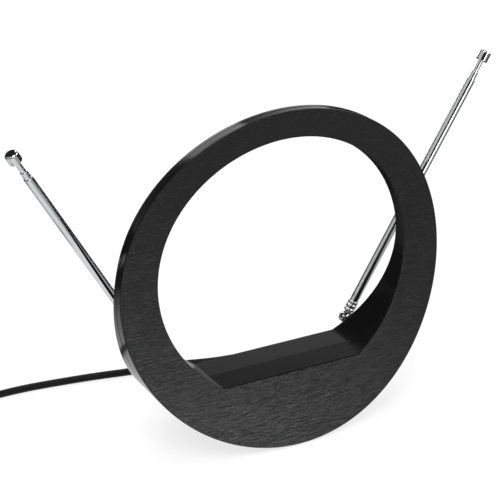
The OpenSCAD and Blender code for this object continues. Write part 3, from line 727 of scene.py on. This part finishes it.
# %% Rear shell, closed
back_rounding = 0.7 * mm
rear_wall_rounding = 0.6 * mm
rear = ring_band(back_y)
draw_to_seam(rear, behind_seam_y, -1)
close_at_seam(rear)
round_edges(rear, on_surface(back_y), back_rounding)
cut_flat(rear, rear_place, rear_out)
round_edges(rear, on_rear_wall, rear_wall_rounding)
cut_flat(rear, under_place, under_out)
bmesh.ops.recalc_face_normals(rear, faces=rear.faces[:])
bmesh.ops.transform(rear, matrix=ring_place, verts=rear.verts[:])
rear_piece = finish_piece("rear_shell_moulding", rear, [GLOSS], "base", ["rear_shell"])
rear_piece.modifiers.clear()

# %% [markdown]
# Four of the case screws sit on a circle just outside the hole, and two in the foot. Each recess is a
# round bar that reaches out past the skin, so that the cut leaves no thin film behind. The hole for the
# lead lies in the rear wall, where the boot goes.

# %% Recesses and the lead's hole
screw_circle = hole_r + shell_wall + 2.8 * mm
ring_screw_angles = (25, 68, 112, 155)
foot_screw_x = 37.8 * mm
foot_screw_z = -84 * mm
recess_r = 2.4 * mm
ring_recess = 1.6 * mm
past_ring = 8 * mm
foot_recess_floor = 4 * mm
past_foot = 60 * mm
lead_hole_r = 4.05 * mm
half_lead_hole = 5 * mm
boot_base = Vector((boot_end.x, rear_wall_y, boot_end.z))

holes = bmesh.new()
for angle in ring_screw_angles:
    x = screw_circle * math.cos(math.radians(angle))
    z = hole_rise + screw_circle * math.sin(math.radians(angle))
    on_back = ring_place @ Matrix.Translation((x, back_y(z), z))
    add_round_bar(holes, on_back, recess_r, -ring_recess, past_ring)
for x in (-foot_screw_x, foot_screw_x):
    on_seam = ring_place @ Matrix.Translation((x, seam_y(foot_screw_z), foot_screw_z))
    add_round_bar(holes, on_seam, recess_r, foot_recess_floor, past_foot)
add_round_bar(holes, Matrix.Translation(boot_base), lead_hole_r, -half_lead_hole, half_lead_hole)
carve(rear_piece, holes)
print("carved rear shell has", len(rear_piece.data.polygons), "faces")

# %% [markdown]
# Now the lid comes off again: its faces are the ones that lie along the seam and look to the front. What
# is left is an open skin, and it gets its wall as the front shell did. The wall is baked in, because more
# is added to this mesh below.

# %% Hollow of the rear shell
skin = bmesh.new()
skin.from_mesh(rear_piece.data)
bmesh.ops.transform(skin, matrix=to_ring, verts=skin.verts[:])
skin.normal_update()
lies_on_lid = on_surface(behind_seam_y, 0.2 * mm)
lid = [
    polygon for polygon in skin.faces
    if polygon.normal.y < -0.85 and all(lies_on_lid(vert.co) for vert in polygon.verts)
]
bmesh.ops.delete(skin, geom=lid, context="FACES")
bmesh.ops.transform(skin, matrix=ring_place, verts=skin.verts[:])
skin.to_mesh(rear_piece.data)
skin.free()
give_wall(rear_piece, shell_wall)
bake(rear_piece)
print("rear shell has", len(rear_piece.data.polygons), "faces, after a lid of", len(lid))

# %% [markdown]
# Most of the small pieces are turned parts, so they are drawn as half an outline and spun. A full spin
# is told to merge its seam, and the points that lie double on its axis are merged before the normals are
# set. Every outline below is a list of radius and height in millimetres.

# %% Spinning
def join_in(mesh_data, part, place):
    """Adds a part to a mesh, moved to its place."""
    bmesh.ops.transform(part, matrix=place, verts=part.verts[:])
    part_mesh = bpy.data.meshes.new("part")
    part.to_mesh(part_mesh)
    part.free()
    mesh_data.from_mesh(part_mesh)
    bpy.data.meshes.remove(part_mesh)


def spin_profile(mesh_data, points, place, steps=96, rounding=0):
    """Turns a closed outline about Z, rounds its edges and sets it in its place."""
    spun = bmesh.new()
    verts = [spun.verts.new((radius * mm, 0, height * mm)) for radius, height in points]
    edges = [spun.edges.new(pair) for pair in zip(verts, verts[1:] + verts[:1])]
    bmesh.ops.spin(
        spun, geom=verts + edges, cent=(0, 0, 0), axis=(0, 0, 1), angle=math.tau, steps=steps, use_merge=True
    )
    bmesh.ops.remove_doubles(spun, verts=spun.verts[:], dist=0.001 * mm)
    bmesh.ops.dissolve_degenerate(spun, edges=spun.edges[:], dist=0.0005 * mm)
    bmesh.ops.recalc_face_normals(spun, faces=spun.faces[:])
    if rounding:
        round_off(spun, sharp_edges(spun, angle=30), rounding * mm)
    join_in(mesh_data, spun, place)


# %% [markdown]
# Two round bosses stand on the flared back, in line with the rods' pivots, and carry the swivels. Each is
# a spun ring with a bore. They belong to the rear shell, so they are added to its mesh, and the whole is
# shaded once more.

# %% Swivel bosses
boss_bore_r = 3.05
boss_r = 6.5
boss_front = -23.6
boss_back = -9.6

boss_outline = [
    (boss_bore_r, boss_front), (boss_r, boss_front), (boss_r, boss_back), (boss_bore_r, boss_back)
]
boss_data = bmesh.new()
boss_data.from_mesh(rear_piece.data)
for side in sides:
    pivot = to_ring @ Vector(joints[f"{side}_rod_fold"]["pos_m"])
    boss_place = ring_place @ Matrix.Translation(pivot) @ along_y
    spin_profile(boss_data, boss_outline, boss_place, steps=72, rounding=0.4)
mark_crisp(boss_data)
boss_data.to_mesh(rear_piece.data)
boss_data.free()
shade_smooth(rear_piece)
print("rear shell and bosses have", len(rear_piece.data.polygons), "faces")

# %% [markdown]
# A rod is drawn upright and then set in its place. The frame's joints say where that is: the fold joint
# gives the pivot and the line across the fork, and the slide joint gives the line along the rod. So the
# rods follow the frame, and no angle is written down twice. Heights are counted from the pivot.

# %% Place of a rod
def fold_line(side):
    """The pivot of a rod, and the line across its fork."""
    fold = joints[f"{side}_rod_fold"]
    return Vector(fold["pos_m"]), Vector(fold["axis"]).normalized()


def rod_frame(side):
    pivot, across = fold_line(side)
    along = Vector(joints[f"{side}_middle_slide"]["axis"]).normalized()
    turn = Matrix((across, along.cross(across), along)).transposed().to_4x4()
    return Matrix.Translation(pivot) @ turn


def finish_chrome(side, name, mesh_data, body, node):
    finish_piece(f"{side}_{name}", mesh_data, [CHROME], f"{side}_{body}", [f"{side}_{node}"])


# %% [markdown]
# Two pieces meet at the hinge pin: the tang of the rod, and the fork with its two cheeks. All of these
# are flat lugs round a bore, so one function makes them. A circle for the bore is extruded outwards to the
# lug's outline, and then upwards to its thickness. Its sizes are in millimetres, like the outlines.

# %% Flat lug
pin_bore_r = 1.55
lug_rounding = 0.15
across_to_z = Matrix(((0, 0, 1), (1, 0, 0), (0, 1, 0))).to_4x4()


def flat_lug(mesh_data, place, round_r, half_width, length, low, high):
    """A lug round the pin's bore: a round end, with straight sides up to its length, between two heights."""
    lug = bmesh.new()
    bmesh.ops.create_circle(lug, segments=96, radius=pin_bore_r * mm)
    for vert in verts_of(bmesh.ops.extrude_edge_only(lug, edges=lug.edges[:])["geom"]):
        way = vert.co.normalized()
        out = round_r
        if way.y > 0:
            out = max(out, min(half_width / max(abs(way.x), 1e-6), length / way.y))
        vert.co = way * (out * mm)
    bmesh.ops.translate(lug, vec=(0, 0, low * mm), verts=lug.verts[:])
    top = verts_of(bmesh.ops.extrude_face_region(lug, geom=lug.faces[:])["geom"])
    bmesh.ops.translate(lug, vec=(0, 0, (high - low) * mm), verts=top)
    bmesh.ops.recalc_face_normals(lug, faces=lug.faces[:])
    round_off(lug, sharp_edges(lug, angle=50), lug_rounding * mm)
    join_in(mesh_data, lug, place)


# %% [markdown]
# The ferrule closes the foot of a rod: a grooved collar, a spigot in the outer tube, and a flat tang that
# the hinge pin goes through. The collar and the spigot are turned parts, so they are spun, and the tang is
# a lug.

# %% Ferrule
collar_start = 4.6
collar_l = 7.4
collar_r = 3.6
collar_edge = 0.3
groove_r = 3.2
groove_flank = 0.35
tube_start = collar_start + collar_l
spigot_r = 2.48
spigot_top = 20
tang_r = 3.1
tang_half_width = 2.3
tang_l = 4.9
tang_half_t = 1.2


def add_ferrule(side, place):
    ferrule = bmesh.new()
    rib = collar_l / 5
    edge_r = collar_r - collar_edge
    outline = [(0, collar_start), (edge_r, collar_start), (collar_r, collar_start + collar_edge)]
    for groove in (1, 3):
        low = collar_start + groove * rib
        high = low + rib
        outline += [
            (collar_r, low), (groove_r, low + groove_flank), (groove_r, high - groove_flank), (collar_r, high)
        ]
    outline += [(collar_r, tube_start - collar_edge), (edge_r, tube_start)]
    outline += [(spigot_r, tube_start), (spigot_r, spigot_top), (0, spigot_top)]
    spin_profile(ferrule, outline, place, rounding=0.12)
    flat_lug(ferrule, place @ across_to_z, tang_r, tang_half_width, tang_l, -tang_half_t, tang_half_t)
    finish_chrome(side, "ferrule", ferrule, "rod", "rod_ferrule")


# %% [markdown]
# The outer and the middle section are full tubes, because the next section slides out of each of them.
# Their upper mouths are rolled in round it. A tube is an outline too, with its bore as one side, and the
# rolled mouth is a quarter round.

# %% Outlines of the tubes
outer_r = 2.9
middle_r = 2.3
inner_r = 1.7
tube_t = 0.4
slide_gap = 0.05
mouth_l = 2
mouth_roll = 0.3


def rounded_shoulder(radius, top, rounding, steps):
    """A quarter round from the side of a turned part to its top."""
    angles = [math.pi / 2 * step / steps for step in range(steps + 1)]
    return [(radius - rounding * (1 - math.cos(a)), top - rounding * (1 - math.sin(a))) for a in angles]


def rolled_tube(radius, next_r, start, end):
    bore = radius - tube_t
    mouth = next_r + slide_gap
    outline = [(bore, start), (radius, start)] + rounded_shoulder(radius, end, mouth_roll, 5)
    return outline + [(mouth, end), (mouth, end - mouth_l), (bore, end - mouth_l - mouth_roll)]


# %% [markdown]
# Four small dimples crimp the outer tube onto its ferrule. They could be drawn as a bump, but they show in
# the tube's outline, so they are pressed into the mesh. The tube gets more rows of points there, and each
# point of its outer wall is pressed in by a bell curve of its distance from the nearest dimple.

# %% Outer and middle sections
outer_top = 179.2
middle_start = 20.5
middle_top = 184.6
crimp_height = tube_start + 4
crimp_row = 0.2
dimple_r = 0.75 * mm
dimple_depth = 0.25 * mm


def crimp(mesh_data, height, radius):
    """Presses four dimples into a tube."""
    for vert in mesh_data.verts:
        on_bore = math.hypot(vert.co.x, vert.co.y) < radius * 0.99
        if on_bore:
            continue
        angle = math.atan2(vert.co.y, vert.co.x)
        off = (angle + math.pi / 4) % (math.pi / 2) - math.pi / 4
        reach = math.hypot(off * radius, vert.co.z - height) / dimple_r
        press = 1 - dimple_depth / radius * math.exp(-reach * reach)
        vert.co.x *= press
        vert.co.y *= press


def add_tubes(side, place):
    outer = bmesh.new()
    outline = rolled_tube(outer_r, middle_r, tube_start, outer_top)
    crimped_rows = [(outer_r, crimp_height + crimp_row * step) for step in range(-10, 11)]
    spin_profile(outer, outline[:2] + crimped_rows + outline[2:], Matrix(), steps=128)
    crimp(outer, crimp_height * mm, outer_r * mm)
    bmesh.ops.transform(outer, matrix=place, verts=outer.verts[:])
    finish_chrome(side, "outer_section", outer, "rod", "outer_tube")

    middle = bmesh.new()
    spin_profile(middle, rolled_tube(middle_r, inner_r, middle_start, middle_top), place)
    finish_chrome(side, "middle_section", middle, "middle", "middle_tube")


# %% [markdown]
# The inner section is a thin solid rod, and its tip is a domed cap to pull it out by. The cap has a bore
# that the rod sits in. The frame has these pieces apart, so they are two pieces here.

# %% Inner section and tip
inner_start = 24.5
inner_top = 197
inner_edge = 0.2
cap_r = 4.1
cap_bore_r = 1.72
cap_start = 193
cap_floor = 197.3
cap_edge = 0.4
cap_dome = 1.2
rod_top = 200


def add_inner(side, place):
    inner = bmesh.new()
    outline = [(0, inner_start), (inner_r - inner_edge, inner_start), (inner_r, inner_start + inner_edge)]
    spin_profile(inner, outline + [(inner_r, inner_top), (0, inner_top)], place)
    finish_chrome(side, "inner_section", inner, "inner", "inner_rod")

    cap = bmesh.new()
    outline = [(cap_bore_r, cap_start), (cap_r - cap_edge, cap_start), (cap_r, cap_start + cap_edge)]
    outline += rounded_shoulder(cap_r, rod_top, cap_dome, 6)
    spin_profile(cap, outline + [(0, rod_top), (0, cap_floor), (cap_bore_r, cap_floor)], place)
    finish_chrome(side, "tip", cap, "inner", "tip_cap")


for side in sides:
    rod_place = rod_frame(side)
    add_ferrule(side, rod_place)
    add_tubes(side, rod_place)
    add_inner(side, rod_place)

# %% [markdown]
# The swivel under each rod is a fork: a stem that turns in the boss, a flange on the boss's face, and
# two cheeks with the hinge pin through them. The fork turns about the ring's axis, so its own frame has
# that line and the pin's line. The stem has a bore for the screw that holds it from inside the foot.

# %% Swivel forks and hinge pins
stem_r = 3
stem_end = -24.8
stem_bore_r = 1.3
stem_bore_floor = -13
flange_r = 5
flange_front = -9.3
flange_back = -6.8
cheek_r = 3.4
cheek_l = 7.1
cheek_t = 1.6
half_gap = 1.4
pin_r = 1.5
stem_outline = [
    (stem_bore_r, stem_end), (stem_r, stem_end), (stem_r, flange_front), (flange_r, flange_front),
    (flange_r, flange_back), (0, flange_back), (0, stem_bore_floor), (stem_bore_r, stem_bore_floor)
]
pin_head = [(2.7, 3), (2.6, 3.4), (2.2, 3.7), (1.2, 3.86), (0, 3.9)]
pin_foot = [(radius, -height) for radius, height in reversed(pin_head)]
ring_axis = (ring_place.to_3x3() @ Vector((0, 1, 0))).normalized()

for side in sides:
    pivot, across = fold_line(side)
    turn = Matrix((across, ring_axis, across.cross(ring_axis))).transposed().to_4x4()
    fork_place = Matrix.Translation(pivot) @ turn

    fork = bmesh.new()
    spin_profile(fork, stem_outline, fork_place @ along_y, rounding=0.2)
    cheek_place = fork_place @ across_to_z @ Matrix.Rotation(math.pi / 2, 4, "Z")
    for low in (half_gap, -half_gap - cheek_t):
        flat_lug(fork, cheek_place, cheek_r, cheek_r, cheek_l, low, low + cheek_t)
    finish_chrome(side, "fork", fork, "swivel", "swivel_fork")

    pin = bmesh.new()
    pin_outline = pin_foot + [(pin_r, -3), (pin_r, 3)] + pin_head
    spin_profile(pin, pin_outline, fork_place @ Matrix.Rotation(math.pi / 2, 4, "Y"), steps=64)
    finish_chrome(side, "rivet", pin, "swivel", "hinge_pin")

# %% [markdown]
# The boot holds the lead in the rear wall: a flange inside, a neck in the hole, and a tapered sleeve
# outside. The sleeve is ribbed, so that it bends with the cable. The ribs are a loop in the outline, which
# is then spun.

# %% Boot
boot_r = 5.2
boot_l = 18
boot_bore_r = 2.55
boot_tip_r = 3.5
boot_neck_r = 4
boot_flange_t = 1.5
taper_start = 3.6
first_rib = 4
rib_pitch = 2.7
wall_front = -shell_wall / mm

boot_outline = [
    (boot_bore_r, wall_front - boot_flange_t), (boot_r, wall_front - boot_flange_t), (boot_r, wall_front),
    (boot_neck_r, wall_front), (boot_neck_r, 0), (boot_r, 0), (boot_r, 3.4)
]
for rib in range(5):
    start = first_rib + rib_pitch * rib
    rib_r = boot_r - (boot_r - boot_tip_r) * (start - taper_start) / (boot_l - taper_start)
    boot_outline += [
        (rib_r, start), (rib_r - 0.75, start + 0.3), (rib_r - 0.8, start + 1),
        (rib_r - 0.2, start + 1.3), (rib_r - 0.25, start + 2.4)
    ]
boot_outline += [(boot_tip_r, boot_l - 0.4), (boot_tip_r - 0.3, boot_l), (boot_bore_r, boot_l)]
boot = bmesh.new()
spin_profile(boot, boot_outline, Matrix.Translation(boot_base) @ along_y, steps=72, rounding=0.08)
finish_piece("ribbed_boot", boot, [RUBBER], "base", ["strain_relief"])

# %% [markdown]
# The plug at the lead's far end has a tapered grip with finger grooves, a chrome collar and a centre pin.
# All three are spun about the same line, and they stay three pieces, because they are of three materials.

# %% Plug
grip_r = 6
grip_l = 24
groove_depth = 0.45
groove_pitch = 2.4
sleeve_r = 4.75
sleeve_bore_r = 4.25
contact_r = 1.15
plug_end = 33
plug_place = Matrix.Translation(grip_end) @ Matrix.Rotation(math.pi / 2, 4, "X")

grip = bmesh.new()
grip_outline = [(0, 0), (3.2, 0), (3.5, 0.4), (4.2, 2.4), (5.2, 5), (5.8, 7), (grip_r, 8.5)]
for groove in range(4):
    start = 10 + groove_pitch * groove
    floor_r = grip_r - groove_depth
    grip_outline += [(grip_r, start), (floor_r, start + 0.4), (floor_r, start + 1), (grip_r, start + 1.4)]
grip_outline += [(grip_r, grip_l - 1), (grip_r - 0.3, grip_l - 0.3), (grip_r - 1, grip_l), (0, grip_l)]
spin_profile(grip, grip_outline, plug_place, steps=72, rounding=0.1)
grip_piece = finish_piece("plug_handle", grip, [GRIP], "base", ["plug_grip"])

sleeve = bmesh.new()
sleeve_outline = [
    (sleeve_bore_r, grip_l), (sleeve_r, grip_l), (sleeve_r, plug_end - 0.4), (sleeve_r - 0.15, plug_end),
    (sleeve_bore_r + 0.15, plug_end), (sleeve_bore_r, plug_end - 0.2)
]
spin_profile(sleeve, sleeve_outline, plug_place, rounding=0.06)
sleeve_piece = finish_piece("plug_sleeve", sleeve, [CHROME], "base", ["plug_collar"])

contact = bmesh.new()
contact_outline = [
    (0, grip_l), (contact_r, grip_l), (contact_r, plug_end - 1.2), (contact_r - 0.2, plug_end - 0.5),
    (0.5, plug_end - 0.05), (0, plug_end)
]
spin_profile(contact, contact_outline, plug_place, steps=48)
contact_piece = finish_piece("plug_contact", contact, [BRONZE], "base", ["plug_pin"])

# %% [markdown]
# The tie is a flat strap round the coil. Its outline is a box that the frame gives, with the corners
# rounded by a bevel of the points. The outline is extruded to the strap's width, and Solidify gives it
# its thickness.

# %% Tie
tie_t = 0.6 * mm
tie_corner_r = 1.6 * mm
tie_low, tie_high = (Vector(corner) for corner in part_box("cable_tie"))
strap = bmesh.new()
round_coil = [
    (tie_low.y, tie_low.z), (tie_high.y, tie_low.z), (tie_high.y, tie_high.z), (tie_low.y, tie_high.z)
]
strap.faces.new([strap.verts.new((tie_low.x, y, z)) for y, z in round_coil])
bmesh.ops.bevel(
    strap, geom=strap.verts[:], offset=tie_corner_r, offset_type="OFFSET", segments=6, profile=0.5,
    affect="VERTICES", material=-1
)
bmesh.ops.delete(strap, geom=strap.faces[:], context="FACES_ONLY")
far_side = verts_of(bmesh.ops.extrude_edge_only(strap, edges=strap.edges[:])["geom"])
bmesh.ops.translate(strap, vec=(tie_high.x - tie_low.x, 0, 0), verts=far_side)
bmesh.ops.recalc_face_normals(strap, faces=strap.faces[:])
strap_piece = finish_piece("strap_tie", strap, [STRAP], "base", ["cable_tie"])
give_wall(strap_piece, tie_t)

# %% [markdown]
# The picture is white all round, but chrome and gloss plastic look like chrome and gloss only when they
# have something dark to mirror. So the surround and the floor show themselves in different ways to the
# camera and in mirror images. The Light Path node tells the kinds of rays apart, and a Mix node takes one
# value or the other.

# %% Kinds of rays
def rays_of(tree, *kinds):
    """1 for the kinds of rays that are named, 0 for the others."""
    path = add_node(tree, "ShaderNodeLightPath")
    total = path.outputs[kinds[0]]
    for kind in kinds[1:]:
        both = add_node(tree, "ShaderNodeMath", operation="ADD", use_clamp=True)
        tree.links.new(total, both.inputs[0])
        tree.links.new(path.outputs[kind], both.inputs[1])
        total = both.outputs[0]
    return total


def blend_by(tree, share, first, second):
    """The first value where the share is 0, the second where it is 1."""
    mix = add_node(tree, "ShaderNodeMix")
    tree.links.new(share, mix.inputs["Factor"])
    for socket, value in (("A", first), ("B", second)):
        if isinstance(value, bpy.types.NodeSocket):
            tree.links.new(value, mix.inputs[socket])
        else:
            mix.inputs[socket].default_value = value
    return mix.outputs["Result"]


# %% [markdown]
# The camera sees a white surround. The light that it throws on matt surfaces is an even grey. In mirror
# images it is a studio: white low down, to the right and behind, and dark above, to the left and on the
# camera's side.

# %% Surround
world_light = 0.65
darkens_towards = (-0.5, -0.3, 1)
sweep_white = 1
sweep_dark = 0.02

world = bpy.data.worlds.new("studio")
bpy.context.scene.world = world
world.use_nodes = True
world_tree = world.node_tree
background = world_tree.nodes["Background"]
background.inputs["Color"].default_value = (1, 1, 1, 1)
direction = add_node(world_tree, "ShaderNodeTexCoord")
height = add_node(world_tree, "ShaderNodeVectorMath", operation="DOT_PRODUCT")
height.inputs[1].default_value = darkens_towards
world_tree.links.new(direction.outputs["Generated"], height.inputs[0])
sweep = ramp_between(
    world_tree, height.outputs["Value"], sweep_white, sweep_dark, start=-0.3, end=0.2, kind="SMOOTHSTEP"
)
off_camera = blend_by(world_tree, rays_of(world_tree, "Is Glossy Ray"), world_light, sweep)
shown = blend_by(world_tree, rays_of(world_tree, "Is Camera Ray", "Is Transmission Ray"), off_camera, 1)
world_tree.links.new(shown, background.inputs["Strength"])
print("surround has", len(world_tree.nodes), "nodes")

# %% [markdown]
# The floor is pale, and the camera sees it white with a soft shadow: three quarters of it glow, and the
# rest takes light and shade. In mirror images its glow is a painted pool of light round the object, with
# painted shade to the right, where the ring's shadow falls, and painted dark further off. The ring's face
# mirrors the floor in front of it: its lower part mirrors the painted pool, and its upper part the painted
# dark beyond the pool's edge.

# %% Painted light of the floor
# The pool, its dark surround and its dimmer right side are painted light and painted shadow in the floor's
# glow.
pool_middle = (0.05, -0.295, 0)
pool_reach = (0.9, 0.39, 1)
pool_turn = math.radians(-30)
painted_dark_far_off = 0.06
painted_left_light = 0.78
painted_right_light = 0.4

floor_material, floor_tree, floor_shader = new_material("pale_floor", Roughness=0.9, Specular_IOR_Level=0.0)
floor_shader.inputs["Base Color"].default_value = (0.9, 0.9, 0.9, 1)
in_pool = add_node(floor_tree, "ShaderNodeMapping", vector_type="TEXTURE")
in_pool.inputs["Location"].default_value = pool_middle
in_pool.inputs["Rotation"].default_value = (0, 0, pool_turn)
in_pool.inputs["Scale"].default_value = pool_reach
far_off = add_node(floor_tree, "ShaderNodeVectorMath", operation="LENGTH")
floor_tree.links.new(object_coordinates(floor_tree), in_pool.inputs["Vector"])
floor_tree.links.new(in_pool.outputs["Vector"], far_off.inputs[0])
# Painted pool of light: bright inside the turned ellipse, painted dark outside it.
painted_pool = ramp_between(floor_tree, far_off.outputs["Value"], 1, painted_dark_far_off, start=0.9, end=1.1)
across_floor = add_node(floor_tree, "ShaderNodeSeparateXYZ")
floor_tree.links.new(object_coordinates(floor_tree), across_floor.inputs[0])
# Painted shade: the pool is dimmer to the right, where the ring's shadow falls.
painted_shade_to_right = ramp_between(floor_tree, across_floor.outputs["X"], painted_left_light, painted_right_light, start=-0.06, end=0.02)
painted_pool_light = add_node(floor_tree, "ShaderNodeMath", operation="MULTIPLY")
floor_tree.links.new(painted_pool, painted_pool_light.inputs[0])
floor_tree.links.new(painted_shade_to_right, painted_pool_light.inputs[1])
print("light of the floor has", len(floor_tree.nodes), "nodes")

# %% [markdown]
# The glow is an emission that is mixed with the matt floor. In mirror images it is all that shows, and
# there it is the painted pool of light and shade. For the camera it is an even white that makes up three
# quarters, and the light that the floor throws back has none of it. The floor itself is one large square.
# It is declared as stage, because it isn't part of the object.

# %% Floor
floor_half = 6
floor_white = 0.75

floor_glow = add_node(floor_tree, "ShaderNodeEmission")
floor_mix = add_node(floor_tree, "ShaderNodeMixShader")
mirrored = rays_of(floor_tree, "Is Glossy Ray")
looked_at = rays_of(floor_tree, "Is Camera Ray", "Is Transmission Ray")
# Mirror images see only the painted pool of light and shade as the glow's strength.
floor_tree.links.new(blend_by(floor_tree, mirrored, 1, painted_pool_light.outputs[0]), floor_glow.inputs["Strength"])
glowing = ramp_between(floor_tree, looked_at, 0, floor_white, start=0, end=1)
floor_tree.links.new(blend_by(floor_tree, mirrored, glowing, 1), floor_mix.inputs[0])
floor_tree.links.new(floor_shader.outputs[0], floor_mix.inputs[1])
floor_tree.links.new(floor_glow.outputs[0], floor_mix.inputs[2])
floor_tree.links.new(floor_mix.outputs[0], floor_tree.nodes["Material Output"].inputs["Surface"])

floor_data = bmesh.new()
bmesh.ops.create_grid(floor_data, x_segments=1, y_segments=1, size=floor_half)
floor_mesh = bpy.data.meshes.new("floor")
floor_data.to_mesh(floor_mesh)
floor_data.free()
floor_mesh.materials.append(floor_material)
floor = add_object("floor", floor_mesh)
floor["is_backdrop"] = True
print("floor is", 2 * floor_half, "m wide")

# %% [markdown]
# The lamps are soft boxes, as in a photographer's studio. The key lamp stands above on the camera's side
# and lights the ring. The others are there for what they leave on the gloss and the chrome: a card on the
# left, a lamp on the right, a low one in front, and a lamp and a card behind. A point lamp would leave
# only dots. The camera doesn't see the lamps themselves.

# %% Lamps
lamp_aim = (0, 0, 0.1)
lamps = {
    "key_lamp": {"place": (-0.65, -0.85, 1.85), "width": 1.0, "height": 1.0, "power": 26},
    "side_lamp": {"place": (1.3, -0.4, 0.9), "width": 0.8, "height": 0.8, "power": 9},
    "low_lamp": {"place": (0.42, -1.4, 0.2), "width": 0.5, "height": 0.26, "power": 2.3},
    "left_card": {"place": (-0.8, -0.02, 0.7), "width": 1.5, "height": 0.6, "power": 1.5},
    "back_lamp": {"place": (0.2, 1.1, 1.7), "width": 1.0, "height": 0.6, "power": 8},
    "back_card": {"place": (-0.03, 1.1, 0.5), "width": 0.45, "height": 0.45, "power": 1.9},
}


def add_lamp(name, place, width, height, power):
    lamp_data = bpy.data.lights.new(name, "AREA")
    lamp_data.shape = "RECTANGLE"
    lamp_data.size = width
    lamp_data.size_y = height
    lamp_data.energy = power
    lamp = add_object(name, lamp_data)
    lamp.visible_camera = False
    point_at(lamp, place, lamp_aim)


for name, settings in lamps.items():
    add_lamp(name, **settings)
bpy.context.scene.view_settings.view_transform = "Standard"
print("lamps:", len(lamps))

# %% [markdown]
# The pieces that the frame already has right, such as screws and the parts inside, keep their shape and
# get a finish. A dictionary says which material each one takes.

# %% Finishes of the frame's own pieces
node_finish = {
    "foot_pad": RUBBER, "ballast_plate": STEEL, "case_screws": STEEL, "loop_strip": TINPLATE,
    "circuit_board": BOARD, "board_screws": STEEL, "balun_core": FERRITE, "balun_winding": COPPER,
    "cable_inner_end": JACKET,
}
side_finish = {
    "contact_tag": STEEL, "lead_wire": RED_WIRE, "swivel_washer": STEEL, "swivel_screw": STEEL,
    "middle_sleeve": BRONZE, "inner_sleeve": BRONZE,
}
for side in sides:
    for piece, finish in side_finish.items():
        node_finish[f"{side}_{piece}"] = finish
for name, finish in node_finish.items():
    nodes[name].data.materials.clear()
    nodes[name].data.materials.append(finish)
print("finished", len(node_finish), "nodes of the frame")

# %% [markdown]
# The bounds of the dressed object are measured, leaving out the floor.

# %% Size of the dressed object
low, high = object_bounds()
